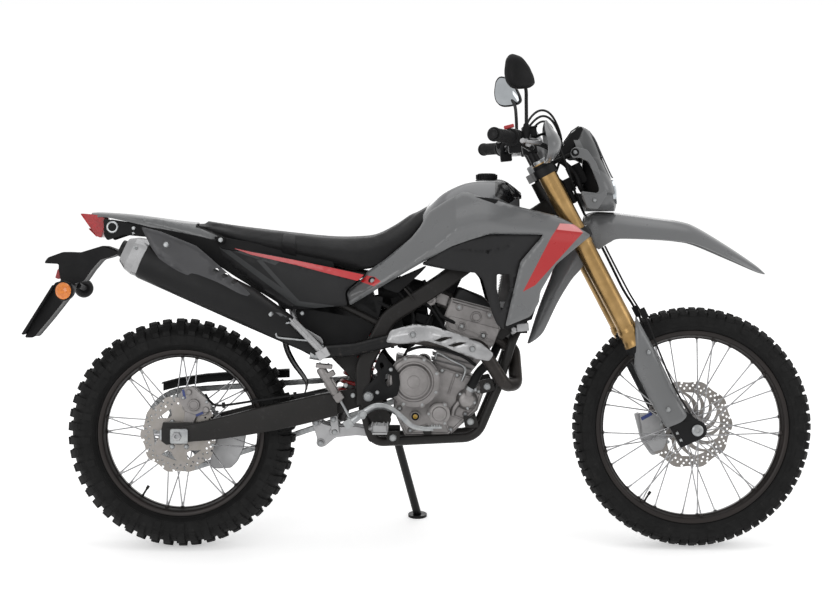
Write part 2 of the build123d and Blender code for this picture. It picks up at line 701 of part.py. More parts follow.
shroud_skin = [
    (460, (-92, 1060), (-100, 980), (-110, 900), (-126, 780), (-122, 580)),
    (560, (-92, 1060), (-106, 985), (-120, 900), (-132, 780), (-126, 580)),
    (690, (-94, 1060), (-136, 990), (-162, 930), (-172, 800), (-158, 580)),
    (850, (-84, 1060), (-150, 985), (-186, 925), (-192, 800), (-168, 580)),
    (1000, (-96, 1040), (-160, 975), (-196, 905), (-194, 780), (-172, 580)),
    (1170, (-150, 1000), (-182, 950), (-200, 890), (-196, 780), (-180, 580)),
]
shroud = panel([(678, 805), (571, 743), (482, 689), (476, 724), (506, 756), (527, 775), (530, 786),
                (624, 854), (655, 879), (680, 909), (702, 951), (804, 1010), (838, 998), (885, 985),
                (966, 963), (1055, 942), (1098, 921), (1121, 905), (1152, 886), (1055, 805), (1013, 731),
                (1009, 700), (986, 661), (916, 632), (957, 812), (1021, 888), (873, 890), (819, 874),
                (765, 855)],
               shroud_skin)
inner_skin = [
    (640, (-150, 950), (-160, 900), (-150, 600)),
    (1040, (-165, 950), (-172, 900), (-150, 600)),
]
inner = panel([(684, 805), (765, 855), (866, 839), (900, 838), (931, 859), (990, 900), (1000, 880),
               (957, 812), (916, 638), (912, 623), (893, 638), (877, 677), (854, 762), (838, 781),
               (742, 793)], inner_skin, hole=[(893, 778), (928, 778), (930, 735), (906, 677), (893, 735)])
keep("shrouds", "chassis", apart(cut(shroud, tank), mirrored(cut(shroud, tank))))
keep("inner_panels", "chassis", apart(*[cut(p, tank, s) for p, s in
                                        ((inner, shroud), (mirrored(inner), mirrored(shroud)))]))

cover_skin = [(100, (-96, 930), (-100, 860), (-104, 660)), (560, (-126, 930), (-130, 800), (-128, 660))]
cover = panel([(54, 866), (130, 846), (206, 843), (524, 776), (503, 758), (472, 727), (477, 689),
               (341, 679), (302, 679), (180, 775)], cover_skin)
cover = cut(cover, seat, frame_all, muffler)
keep("side_covers", "chassis", apart(cover, mirrored(cover)))

tail = arched([
    (-254, 30, 938, 952), (-209, 54, 936, 950), (-97, 78, 914, 940), (0, 88, 888, 928), (46, 92, 874, 922),
], 4)
keep("tail_cowl", "chassis", cut(tail, seat))
tail_lamp = cut(side_plate(
    [(-284, 949), (-232, 944), (-215, 936), (-215, 908), (-225, 879), (-260, 914)], -42, 42), tail)
tail_base = joined(
    side_plate([(-214, 932), (-89, 912), (60, 880), (60, 868), (-85, 881), (-158, 884), (-221, 864),
                (-214, 886)], -60, 60),
    side_plate([(-219, 858), (-163, 886), (-163, 838), (-185, 833), (-228, 818), (-277, 757),
                (-301, 752), (-331, 703), (-419, 596), (-442, 597), (-358, 754), (-346, 792),
                (-345, 807), (-387, 809), (-377, 824), (-333, 840), (-285, 838)], -38, 38),
)
keep("rear_fender", "chassis", cut(tail_base, tail, tail_lamp, seat))
indicator = round_bar([(-304, -128, 732), (-304, -30, 740)], 8, None)
indicator_head = side_disc(-304, 732, 26, -168, -126)
keep("rear_lamps", "chassis", apart(
    tail_lamp, cut(joined(indicator, indicator_head), tail_base),
    mirrored(cut(joined(indicator, indicator_head), tail_base))))

subframe_rail = round_bar([(650, -62, 745), (560, -62, 770), (120, -62, 846), (-70, -50, 878)], 11, [60, 90])
subframe_strut = round_bar([(560, -96, 640), (400, -88, 720), (180, -66, 822)], 9, [90])
subframe = joined(subframe_rail, subframe_strut, side_disc(180, 829, 9, -70, 70),
                  side_disc(560, 768, 9, -100, 100), side_disc(20, 861, 9, -62, 62))
subframe = joined(subframe, mirrored(subframe_rail), mirrored(subframe_strut))
keep("subframe", "chassis", cut(subframe, frame_all, seat, tail_base))
airbox_outline = [(300, 690), (300, 800), (540, 752), (560, 660), (470, 660)]
keep("airbox", "chassis", cut(side_plate(airbox_outline, -84, 84), subframe, frame_all))
flap_outline = [(150, 848), (290, 700), (300, 560), (328, 522), (365, 456), (337, 437), (300, 520),
                (286, 560), (270, 690), (140, 835)]
keep("mud_flap", "chassis", cut(side_plate(flap_outline, -60, 60), subframe))

shock = joined(round_bar([(452, 0, 350), (556, 0, 645)], 12, None),
               round_bar([(478, 0, 424), (548, 0, 622)], 34, None),
               side_disc(558, 650, 12, -96, 96))
linkage_outline = [(384, 353), (390, 390), (420, 392), (470, 360), (560, 326), (552, 308), (432, 300),
                   (398, 298)]
linkage = joined(side_plate(linkage_outline, -34, -16), side_plate(linkage_outline, 16, 34),
                 side_disc(452, 350, 8, -34, 34), side_disc(404, 374, 8, -34, 34))
keep("rear_shock", "chassis", cut(joined(shock, linkage), frame_all, nodes["airbox"][0], subframe, swingarm))

rear_caliper_outline = [(-22, 452), (44, 470), (92, 440), (84, 372), (44, 372), (20, 404)]
rear_caliper = joined(side_plate(rear_caliper_outline, -92, -77), side_plate(rear_caliper_outline, -63, -52),
                      side_plate([(-22, 452), (44, 470), (92, 440), (90, 431), (42, 458), (-20, 441)],
                                 -92, -52))
master_cylinder = cut(joined(
    round_bar([(412, -138, 500), (468, -138, 404)], 13, None),
    brick((418, -138, 520), (40, 30, 46)),
    side_plate([(440, 470), (470, 470), (530, 440), (520, 420), (450, 430)], -132, -124)),
    frame_all, swingarm)
keep("rear_brake", "chassis", apart(cut(rear_caliper, swingarm), master_cylinder))

# Chain: an endless loop round both sprockets, clear of the teeth
small_x, small_z, small_r, big_r, link_height = 607.0, 445.0, 35.0, sprocket_radius + 5, 14.0
with BuildPart() as chain:
    for grow, how in ((link_height, Mode.ADD), (0, Mode.SUBTRACT)):
        with BuildSketch(Plane.XZ.offset(-sprocket_y - 9)):
            with BuildSketch(mode=Mode.PRIVATE) as pulleys:
                with Locations((0, rear_axle_z)):
                    Circle(big_r + grow)
                with Locations((small_x, small_z)):
                    Circle(small_r + grow)
            make_hull(pulleys.sketch.edges())
        extrude(amount=18, mode=how)
keep("chain", "chassis", cut(chain.part, swingarm, engine, frame_all))
keep("chain_guard", "chassis", cut(side_plate([(-69, 462), (143, 492), (300, 500), (300, 490), (143, 482),
                                           (-60, 452)], 66, 108), chain.part, swingarm))

pedal = joined(
    flat_bar([(478, -200, 368), (535, -200, 402), (610, -196, 400), (680, -190, 352), (725, -196, 352)],
             8, 14, [20, 40, 20]),
    side_disc(520, 392, 10, -202, -120), brick((728, -206, 354), (34, 40, 10)),
)
pedal = cut(pedal, frame_all, swingarm, engine)
shift = joined(
    flat_bar([(640, 128, 372), (700, 132, 340), (742, 132, 352)], 8, 12, [20]),
    side_disc(640, 372, 9, 58, 130), round_bar([(742, 128, 352), (742, 168, 352)], 8, None),
)
shift = cut(shift, engine, frame_all, chain.part)
keep("foot_levers", "chassis", apart(pedal, shift))
rest = joined(
    side_plate([(548, 352), (592, 352), (586, 368), (554, 368)], -292, -196),
    side_plate([(556, 345), (586, 345), (586, 366), (556, 366)], -200, -150),
    flat_bar([(571, -165, 357), (540, -98, 346)], 30, 18, None),
)
pillion = joined(
    flat_bar([(300, -118, 635), (395, -118, 560), (398, -118, 625), (300, -118, 635)][:3], 10, 16, [14]),
    side_disc(300, 635, 10, -190, -112),
)
keep("footpegs", "chassis", apart(
    cut(rest, frame_all, pedal, swingarm), mirrored(cut(rest, frame_all, swingarm)),
    cut(pillion, muffler), mirrored(cut(pillion, muffler))))
radiator_outline = [(930, 850), (965, 850), (935, 690), (900, 690)]
keep("radiator", "chassis", cut(side_plate(radiator_outline, 28, 148), frame_all, tank))

# ---------------------------------------------------------------- side stand
park_sin, park_cos = sin(radians(lean)), cos(radians(lean))
park_lift = crown_radius * (1 - park_cos)  # a round crown rolls over to its shoulder
stand_foot = Vector(stand_foot_x, stand_foot_y, (stand_foot_y * park_sin - park_lift) / park_cos)
floor_up = Vector(0, -park_sin, park_cos)
with BuildPart() as foot:
    with BuildSketch(Plane(origin=stand_foot, x_dir=(1, 0, 0), z_dir=floor_up)):
        Circle(28)
    extrude(amount=8)
leg = round_bar([stand_pivot, stand_foot + floor_up * 6], 12, None)
leg = leg - on_stand_pin(60, 12, 60) - on_stand_pin(60, -60, -12)
leg = cut(leg, on_stand_pin(6.0 + running_clearance, -60, 60))
keep("side_stand", "side_stand", joined(on_stand_pin(15, -12, 12, 6.0 + running_clearance), leg, foot.part))

# ---------------------------------------------------------------- parked, in the row frame
parked = Location((0, 0, park_lift)) * Location((0, 0, 0), (-lean, 0, 0))
placed = {name: (parked * Compound(shape.solids()), body) for name, (shape, body) in nodes.items()}
whole = Compound([solid for shape, body in placed.values() for solid in shape.solids()]).bounding_box()
shift = Location((-(whole.min.X + whole.max.X) / 2, -(whole.min.Y + whole.max.Y) / 2, -whole.min.Z))
placed = {name: (shift * shape, body) for name, (shape, body) in placed.items()}


def in_row(point):
    """A bike frame point in the row frame, in metres."""
    spot = (shift * parked * Location(point)).position
    return [round(c / 1000, 6) for c in spot]


def row_direction(way):
    """A bike frame direction in the row frame."""
    x, y, z = way
    return [round(c, 6) for c in (x, y * park_cos + z * park_sin, z * park_cos - y * park_sin)]


os.makedirs("parts", exist_ok=True)
bodies = {}
for name, (shape, body) in placed.items():
    export_step(shape, f"parts/{name}.step")
    bodies.setdefault(body, []).append(name)
    print(name, body, len(shape.solids()), [round(v) for v in shape.bounding_box().size])
size = whole.size
print("size", [round(v, 3) for v in size], "lift", round(-whole.min.Z, 6))
print(json.dumps({
    "size_m": [round(v / 1000, 6) for v in size],
    "bodies": bodies,
    "steering": [in_row(on_fork(0, 0, 1090)), row_direction((-steer_sin, 0, steer_cos))],
    "front_wheel": [in_row((wheelbase, 0, front_axle_z)), row_direction((0, 1, 0))],
    "rear_wheel": [in_row((0, 0, rear_axle_z)), row_direction((0, 1, 0))],
    "side_stand": [in_row(stand_pivot), row_direction(stand_axis)],
    "outlet": [in_row(outlet), row_direction(muffler_line)],
    "lever_gaps": [in_row(spot) for spot in from_bar([(-59, -370, 15), (-59, 370, 15)])],
}))
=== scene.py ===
# Dual sport motorcycle on its side stand: looks, small parts and the picture's set.
# Lengths are millimetres in the bike's own upright frame unless a line says metres: x forward from
# the rear axle, y to the rider's left, z up. bikeToRow turns them into the shared frame, in metres.
import bpy
import bmesh
import json
from math import atan2, ceil, cos, hypot, log, pi, radians, sin, sqrt
from mathutils import Matrix, Vector
from mathutils.geometry import delaunay_2d_cdt
import numpy as np


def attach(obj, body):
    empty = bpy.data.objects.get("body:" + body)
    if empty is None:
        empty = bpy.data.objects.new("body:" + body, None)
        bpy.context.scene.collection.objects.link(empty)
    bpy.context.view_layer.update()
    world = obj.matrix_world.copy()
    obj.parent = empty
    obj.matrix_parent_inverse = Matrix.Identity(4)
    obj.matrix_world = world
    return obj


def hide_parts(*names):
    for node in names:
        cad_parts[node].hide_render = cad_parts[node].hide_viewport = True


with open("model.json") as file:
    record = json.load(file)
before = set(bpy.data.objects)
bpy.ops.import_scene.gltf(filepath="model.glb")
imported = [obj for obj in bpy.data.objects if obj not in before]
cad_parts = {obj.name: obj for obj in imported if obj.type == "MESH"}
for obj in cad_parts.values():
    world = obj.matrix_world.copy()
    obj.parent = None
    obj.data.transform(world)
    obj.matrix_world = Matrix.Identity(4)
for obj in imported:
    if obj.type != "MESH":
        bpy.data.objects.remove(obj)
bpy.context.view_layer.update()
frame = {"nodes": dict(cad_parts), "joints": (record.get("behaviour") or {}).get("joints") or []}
nodes = frame["nodes"]
print("frame loaded:", len(nodes), "nodes")

bike = {"lean": radians(10), "rake": radians(27.5), "wheelbase": 1455.0, "trail": 109.0, "frontRadius": 341.0,
    "rearRadius": 325.0, "forkAhead": 20.0, "forkSpacing": 101.0}
jointPos = {j["name"]: Vector(j["pos_m"]) for j in frame["joints"]}
leanTurn = Matrix.Rotation(-bike["lean"], 4, "X")
rowOrigin = jointPos["rear_wheel_spin"] - leanTurn @ Vector((0, 0, bike["rearRadius"] / 1000))
bikeToRow = Matrix.Translation(rowOrigin) @ leanTurn @ Matrix.Scale(0.001, 4)
forkSin, forkCos = sin(bike["rake"]), cos(bike["rake"])
frontAxle = Vector((bike["wheelbase"], 0, bike["frontRadius"]))
rearAxle = Vector((0, 0, bike["rearRadius"]))
forkDown, forkForward = Vector((forkSin, 0, -forkCos)), Vector((forkCos, 0, forkSin))
left = Vector((0, 1, 0))


def onFork(ahead, y, height):
    # ahead of the steering axis and up along it
    foot = bike["wheelbase"] + bike["trail"]
    return Vector((foot + ahead * forkCos - height * forkSin, y, ahead * forkSin + height * forkCos))


def linear(hexColour):
    # sRGB hex to linear RGBA
    channels = [int(hexColour[i:i + 2], 16) / 255 for i in (1, 3, 5)]
    return tuple(c / 12.92 if c <= 0.04045 else ((c + 0.055) / 1.055) ** 2.4 for c in channels) + (1.0,)


def addNode(tree, kind, settings=None, **inputs):
    # settings are the node's own properties; inputs are values, nodes or sockets, by the socket's
    # name without spaces, or i0, i1 for a socket by number
    node = tree.nodes.new(kind)
    for key, value in (settings or {}).items():
        setattr(node, key, value)
    for key, value in inputs.items():
        if key[0] == "i" and key[1:].isdigit():
            socket = node.inputs[int(key[1:])]
        else:
            socket = next(s for s in node.inputs if s.name.replace(" ", "") == key and s.enabled)
        if isinstance(value, bpy.types.Node):
            value = next(s for s in value.outputs if s.enabled)
        if isinstance(value, bpy.types.NodeSocket):
            tree.links.new(value, socket)
        else:
            socket.default_value = value
    return node


def insideShape(tree, coords, corners, soft=0.8):
    # 1 inside a convex outline of (x, z) corners in the side view, with an edge of soft mm
    centre = (sum(x for x, z in corners) / len(corners), sum(z for x, z in corners) / len(corners))
    nearest = None
    for (x0, z0), (x1, z1) in zip(corners, corners[1:] + corners[:1]):
        length = hypot(x1 - x0, z1 - z0)
        nx, nz = -(z1 - z0) / length, (x1 - x0) / length
        if (centre[0] - x0) * nx + (centre[1] - z0) * nz < 0:
            nx, nz = -nx, -nz
        along = addNode(tree, "ShaderNodeVectorMath", {"operation": "DOT_PRODUCT"}, i0=coords, i1=(nx, 0, nz))
        depth = addNode(tree, "ShaderNodeMath", {"operation": "SUBTRACT"}, i0=along.outputs["Value"], i1=x0 * nx
            + z0 * nz)
        if nearest is not None:
            depth = addNode(tree, "ShaderNodeMath", {"operation": "MINIMUM"}, i0=nearest, i1=depth)
        nearest = depth
    return addNode(tree, "ShaderNodeMapRange", None, Value=nearest, FromMin=-soft / 2, FromMax=soft / 2)


finishes = {}


def finish(name, colour, roughness, metallic=0.0, ior=1.5, coat=0.0, coatRoughness=0.05, second=None,
        secondMm=120.0, grainMm=0.0, grainDepth=0.0, roughVary=0.0, stretch=None, wear=None, wearAmount=0.45,
        shapes=(), sheen=0.0, specular=0.5, cell=None):
    # one surface: a base colour that drifts to a second one, grain in the bump, patchy roughness,
    # scuffs, and flat coloured shapes given as convex outlines in the side view; some shapes are painted shade and
    # painted highlight
    material = bpy.data.materials.new(name)
    material.use_nodes = True
    tree = material.node_tree
    tree.nodes.clear()
    shader = addNode(tree, "ShaderNodeBsdfPrincipled", None, Roughness=roughness, Metallic=metallic, IOR=ior,
        SpecularIORLevel=specular, CoatWeight=coat, CoatRoughness=coatRoughness, SheenWeight=sheen)
    addNode(tree, "ShaderNodeOutputMaterial", None, Surface=shader)
    place = addNode(tree, "ShaderNodeTexCoord")
    coords = addNode(tree, "ShaderNodeMapping", {"vector_type": "TEXTURE"}, Vector=place.outputs["Object"],
        Location=tuple(rowOrigin), Rotation=(-bike["lean"], 0, 0), Scale=(0.001, 0.001, 0.001))
    drift = addNode(tree, "ShaderNodeTexNoise", None, Vector=coords, Scale=1 / secondMm, Detail=3.0, Roughness=0.6)
    share = addNode(tree, "ShaderNodeMapRange", None, Value=drift, FromMin=0.35, FromMax=0.65)
    paint = addNode(tree, "ShaderNodeMix", {"data_type": "RGBA"}, Factor=share, A=linear(colour),
        B=linear(second or colour))
    for outline, fill, soft in shapes:
        inside = insideShape(tree, coords, outline, soft)
        paint = addNode(tree, "ShaderNodeMix", {"data_type": "RGBA"}, Factor=inside, A=paint, B=linear(fill))
    if wear:
        scuff = addNode(tree, "ShaderNodeTexNoise", None, Vector=coords, Scale=1 / 16, Detail=6.0, Roughness=0.72)
        worn = addNode(tree, "ShaderNodeMapRange", None, Value=scuff, FromMin=0.56, FromMax=0.7, ToMax=wearAmount)
        paint = addNode(tree, "ShaderNodeMix", {"data_type": "RGBA"}, Factor=worn, A=paint, B=linear(wear))
    tree.links.new(next(s for s in paint.outputs if s.enabled), shader.inputs["Base Color"])
    if roughVary:
        cloud = addNode(tree, "ShaderNodeTexNoise", None, Vector=coords, Scale=1 / 35, Detail=4.0, Roughness=0.6)
        patchy = addNode(tree, "ShaderNodeMapRange", None, Value=cloud, FromMin=0.3, FromMax=0.7,
            ToMin=roughness - roughVary, ToMax=roughness + roughVary)
        tree.links.new(patchy.outputs[0], shader.inputs["Roughness"])
    if grainMm:
        lay = addNode(tree, "ShaderNodeMapping", None, Vector=coords, Scale=stretch or (1, 1, 1))
        if cell:
            grain = addNode(tree, "ShaderNodeTexVoronoi", None, Vector=lay, Scale=1 / grainMm, Randomness=cell)
        else:
            grain = addNode(tree, "ShaderNodeTexNoise", None, Vector=lay, Scale=1 / grainMm, Detail=3.0,
                Roughness=0.6)
        bump = addNode(tree, "ShaderNodeBump", None, Height=grain.outputs[0], Strength=0.7,
            Distance=grainDepth / 1000)
        tree.links.new(bump.outputs[0], shader.inputs["Normal"])
    finishes[name] = material


# fields on the tank's side panel, red paint and a painted highlight among them: convex outlines in the side view,
# colour, edge in mm
shroudPaintAndHighlight = [
    ([(1066, 919), (1109, 916), (1129, 894), (998, 748), (964, 730), (1042, 882)], "#A80D12", 1.0),
    # a pale pink strip on the red tip's upper edge, along the crease: painted highlight
    ([(1066, 919), (1109, 916), (1129, 894), (1057, 902)], "#DB8C8C", 1.5),
    ([(478, 700), (551, 744), (513, 757), (480, 731)], "#3A3A3B", 1.2),
    ([(513, 757), (530, 774), (553, 770), (570, 758), (551, 744)], "#A80D12", 1.0),
]

# the matt black field at the tank's front, under the bars
tankFields = [([(892, 1052), (923, 1046), (965, 1011), (962, 998), (930, 976), (890, 996)], "#141415", 1.0)]

# the exhaust pipe is painted near black over its stretch behind the frame
pipeFields = [([(330, 480), (330, 660), (600, 660), (600, 480)], "#0C0C0D", 8.0)]

# grey ribs that frame the side cover's darker panel
coverRibs = [[(92, 868), (106, 872), (340, 706), (328, 692)], [(328, 704), (328, 690), (436, 676), (438, 690)],
    [(222, 816), (236, 818), (344, 700), (330, 700)], [(92, 864), (100, 868), (286, 812), (274, 803)]]
coverFields = [(rib, "#3F4041", 1.5) for rib in coverRibs]

# painted shade on the lamp cowl: its inner facet, darker grey where it faces away from the light
cowlShadeFields = [([(1121, 1178), (1144, 1190), (1194, 1118), (1220, 1049), (1162, 1086)], "#38393A", 1.5)]

# each finish, with what it is, how its surface was made, and what that gives the eye

# injection moulded ABS, gloss grey all through: clear reflections with a faint orange peel
finish("greyAbs", "#5E5F60", 0.3, coat=0.3, coatRoughness=0.12, second="#626364", secondMm=260, grainMm=5.0,
    grainDepth=0.03, roughVary=0.04)
# the same ABS on the lamp cowl, with painted shade on the facet along its flank
finish("cowlAbs", "#565758", 0.3, coat=0.2, coatRoughness=0.12, second="#5A5B5C", secondMm=260, grainMm=5.0,
    grainDepth=0.03, roughVary=0.04, shapes=cowlShadeFields)
finish("shroudAbs", "#5E5F60", 0.3, coat=0.3, coatRoughness=0.12, second="#626364", secondMm=260, grainMm=5.0,
    grainDepth=0.03, roughVary=0.04, shapes=shroudPaintAndHighlight)
# painted steel tank: the same grey under lacquer, so sharper highlights
finish("greyPaint", "#5E5F61", 0.26, coat=0.6, coatRoughness=0.06, second="#5A5B5D", shapes=tankFields,
    secondMm=240, grainMm=9.0, grainDepth=0.02)
# polypropylene from a spark-eroded mould: a fine grain that scatters the light
finish("charcoalPp", "#1F1F20", 0.52, ior=1.49, specular=0.22, second="#232324", secondMm=180, shapes=coverFields,
    grainMm=1.6, grainDepth=0.2, roughVary=0.05)
finish("blackPp", "#0B0B0C", 0.5, ior=1.49, specular=0.16, second="#101011", secondMm=120, grainMm=1.6,
    grainDepth=0.2, roughVary=0.06)
# powder coated steel: satin, slightly pebbled, thin on the edges
finish("framePowder", "#1D1B1A", 0.42, specular=0.22, second="#191817", secondMm=90, grainMm=3.0, grainDepth=0.12,
    roughVary=0.05, wear="#3C3C3C", wearAmount=0.3)
finish("blackPowder", "#0B0B0C", 0.4, specular=0.2, second="#101011", secondMm=60, grainMm=2.4, grainDepth=0.1,
    roughVary=0.06, wear="#262626", wearAmount=0.3)
# sand cast and die cast aluminium: matt, cloudy, with pores
finish("castAlloy", "#8C8988", 0.44, metallic=0.75, second="#7A7776", secondMm=45, grainMm=1.8, grainDepth=0.25,
    roughVary=0.08, wear="#605F5D", wearAmount=0.25)
finish("darkCast", "#4C4B4B", 0.5, metallic=0.65, second="#575656", secondMm=40, grainMm=1.8, grainDepth=0.25,
    roughVary=0.08, wear="#3A3937")
# drawn aluminium tube, gold anodised: coloured mirror with lines round the tube
finish("goldAnodise", "#A98A5C", 0.3, metallic=0.95, second="#8E7248", secondMm=70, grainMm=1.4, grainDepth=0.03,
    stretch=(0.4, 0.4, 3.0), roughVary=0.04)
# ground stainless steel: bright with fine lines
finish("brightSteel", "#A6A6A7", 0.27, metallic=1.0, second="#8F8F91", secondMm=30, grainMm=1.2, grainDepth=0.04,
    roughVary=0.07)
# black anodised rim: a soft brownish sheen on the flanks
finish("rimAnodise", "#1F1C1B", 0.36, metallic=0.55, second="#26211F", secondMm=120, grainMm=1.4, grainDepth=0.04,
    roughVary=0.05)
# ground disc steel: fine radial scratches that break the reflection
finish("discSteel", "#8A8683", 0.36, metallic=1.0, second="#84807B", secondMm=22, grainMm=1.2, grainDepth=0.06,
    roughVary=0.08)
# zinc plate: paler, bluish cloudy patches
finish("zincPlate", "#A0A2A2", 0.34, metallic=0.95, second="#898B8D", secondMm=24, grainMm=1.6, grainDepth=0.08,
    roughVary=0.08, wear="#6C6C68", wearAmount=0.35)
# blasted aluminium sheet and castings, satin
finish("satinAlloy", "#A2A2A3", 0.36, metallic=0.85, second="#929293", secondMm=60, grainMm=1.3, grainDepth=0.06,
    roughVary=0.05, wear="#7E7E7C", wearAmount=0.25)
# steel exhaust pipe after some heat: dull grey-brown, darker in patches
finish("pipeSteel", "#2E2B29", 0.4, metallic=0.6, second="#262220", secondMm=60, shapes=pipeFields, grainMm=2.0,
    grainDepth=0.08, roughVary=0.08, wear="#5C5550", wearAmount=0.3)
# heat-proof enamel on steel: nearly black and even
finish("silencerEnamel", "#0E0E0F", 0.42, specular=0.2, second="#131314", secondMm=110, grainMm=2.0, grainDepth=0.1,
    roughVary=0.07)
# carbon black rubber, vulcanised in a mould: dusty on the lugs
finish("tyreRubber", "#0D0D0D", 0.72, ior=1.52, second="#111111", secondMm=50, grainMm=2.4, grainDepth=0.3,
    roughVary=0.08, specular=0.2, wear="#2E2D2C", wearAmount=0.35)
finish("gripRubber", "#0C0C0D", 0.66, ior=1.52, specular=0.2, second="#121213", secondMm=30, grainMm=1.5,
    grainDepth=0.15)
# embossed vinyl over foam: pores as cells, soft sheen
finish("seatVinyl", "#111112", 0.56, specular=0.2, second="#151516", secondMm=90, grainMm=3.2, grainDepth=0.5,
    roughVary=0.06, sheen=0.05, cell=0.9)
# moulded acrylic lenses
finish("redLens", "#A8151B", 0.2, ior=1.49, specular=0.3, second="#8E1016", secondMm=9)
finish("amberLens", "#E0801E", 0.18, ior=1.49, coat=0.5, second="#C4650F", secondMm=6)
finish("clearLens", "#C9CED2", 0.05, metallic=0.85, coat=1.0, second="#8E9498", secondMm=26)
# vinyl stickers and small coloured mouldings
finish("redVinyl", "#B41C22", 0.3, coat=0.4, second="#AE1A20", secondMm=80)
finish("smokeScreen", "#2A2B2D", 0.14, coat=0.5, second="#303134", secondMm=140)
finish("redSpring", "#A01D20", 0.35, coat=0.3, second="#931A1D", secondMm=60)
finish("silverButton", "#8C8C8C", 0.4, second="#7E7E7E", secondMm=12)
finish("oilGlass", "#C9A33A", 0.1, coat=0.6, second="#8A6A1E", secondMm=7)
# dark sheet steel under satin enamel
finish("charcoalSteel", "#3C3C3E", 0.36, metallic=0.25, second="#343436", secondMm=120, grainMm=1.6,
    grainDepth=0.05, roughVary=0.05)
finish("blueCap", "#1F2F66", 0.35, second="#2A3B78", secondMm=10)
# silvered glass and black lacquer
finish("mirrorGlass", "#A9ADB0", 0.05, metallic=1.0, second="#9EA2A5", secondMm=60)
finish("blackGloss", "#131314", 0.12, coat=0.5, second="#19191A", secondMm=90)
print("finishes made:", len(finishes))

cadFinish = {
    "tyreRubber": ("front_tyre", "rear_tyre"),
    "blackPowder": ("front_rim", "rear_rim", "handlebar", "triple_clamps", "fork_sliders", "side_stand",
        "valve_cover", "controls", "rear_shock"),
    "pipeSteel": ("exhaust_header",),
    "castAlloy": ("front_hub", "rear_hub", "engine", "radiator"),
    "brightSteel": ("front_spokes", "rear_spokes", "front_disc", "rear_disc", "front_axle", "rear_axle"),
    "zincPlate": ("rear_sprocket", "chain", "foot_levers", "footpegs"),
    "goldAnodise": ("fork_tubes",),
    "greyAbs": ("fork_guards", "front_fender", "headlight_cowl", "hand_guards", "shrouds", "tail_cowl"),
    "greyPaint": ("fuel_tank",),
    "charcoalPp": ("inner_panels", "side_covers"),
    "blackPp": ("meter", "mirrors", "rear_fender", "airbox", "mud_flap", "chain_guard"),
    "satinAlloy": ("front_caliper", "rear_brake", "heat_shields"),
    "framePowder": ("frame", "swingarm", "subframe"),
    "silencerEnamel": ("muffler",),
    "gripRubber": ("grips",),
    "seatVinyl": ("seat",),
    "clearLens": ("headlamp",),
    "redLens": ("rear_lamps",),
}
for finishName, nodeNames in cadFinish.items():
    for nodeName in nodeNames:
        slots = nodes[nodeName].data.materials
        slots.clear()
        slots.append(finishes[finishName])


sharpAngle, copySharpAngle, bevelAngle = radians(38), radians(40), radians(35)


def joinParts(parts):
    # (points, faces) pairs as one pair; one pair alone stays as it is
    if isinstance(parts, tuple):
        return parts
    points, faces = [], []
    for partPoints, partFaces in parts:
        start = len(points)
        points += [Vector(p) for p in partPoints]
        faces += [[start + i for i in face] for face in partFaces]
    return points, faces


def meshPiece(name, part, finishName, body, replaced=(), smooth=True, bevel=0.0):
    # a finished piece from a part or a list of parts: in place, dressed, and riding on its body
    points, faces = joinParts(part)
    mesh = bpy.data.meshes.new(name)
    mesh.from_pydata([bikeToRow @ Vector(p) for p in points], [], [list(f) for f in faces])
    work = bmesh.new()
    work.from_mesh(mesh)
    bmesh.ops.recalc_face_normals(work, faces=work.faces)
    for face in work.faces:
        face.smooth = smooth
    work.to_mesh(mesh)
    work.free()
    if smooth:
        mesh.set_sharp_from_angle(angle=sharpAngle)
    piece = bpy.data.objects.new(name, mesh)
    bpy.context.scene.collection.objects.link(piece)
    mesh.materials.append(finishes[finishName])
    if bevel:
        rounding = piece.modifiers.new("edges", "BEVEL")
        rounding.width, rounding.segments = bevel / 1000, 2
        rounding.limit_method, rounding.angle_limit = "ANGLE", bevelAngle
    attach(piece, body)
    if replaced:
        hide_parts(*replaced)
    return piece


def mirrorPart(part):
    points, faces = joinParts(part)
    return [Vector((p[0], -p[1], p[2])) for p in points], [list(reversed(face)) for face in faces]


def movedPart(part, offset):
    return [Vector(p) + Vector(offset) for p in part[0]], part[1]


def axisFrame(direction):
    # two directions square to a third
    along = Vector(direction).normalized()
    across = along.cross(Vector((0, 0, 1)) if abs(along.z) < 0.9 else Vector((1, 0, 0))).normalized()
    return along, across, along.cross(across)


def turnedPart(origin, direction, profile, steps=48):
    # profile rows (along, radius) turned about an axis; closed where a row's radius is 0
    along, across, other = axisFrame(direction)
    points, rings = [], []
    for height, radius in profile:
        if radius == 0:
            rings.append([len(points)] * steps)
            points.append(Vector(origin) + along * height)
            continue
        rings.append(list(range(len(points), len(points) + steps)))
        for n in range(steps):
            turn = 2 * pi * n / steps
            points.append(Vector(origin) + along * height + (across * cos(turn) + other * sin(turn)) * radius)
    faces = []
    for low, high in zip(rings, rings[1:]):
        for n in range(steps):
            m = (n + 1) % steps
            corners = []
            for index in (low[n], low[m], high[m], high[n]):
                if index not in corners:
                    corners.append(index)
            if len(corners) > 2:
                faces.append(corners)
    return points, faces


def smoothPath(points, spacing=8.0):
    # a Catmull-Rom path through given points, at even spacing
    spots = [Vector(p) for p in points]
    if len(spots) == 2:
        return [spots[0].lerp(spots[1], n / 2) for n in range(3)]
    ends = [2 * spots[0] - spots[1]] + spots + [2 * spots[-1] - spots[-2]]
    path = []
    for before, first, second, after in zip(ends, ends[1:], ends[2:], ends[3:]):
        pieces = max(2, ceil((second - first).length / spacing))
        for n in range(pieces):
            t = n / pieces
            path.append(0.5 * (2 * first + (second - before) * t
                + (2 * before - 5 * first + 4 * second - after) * t * t
                + (3 * first - before - 3 * second + after) * t ** 3))
    return path + [spots[-1]]


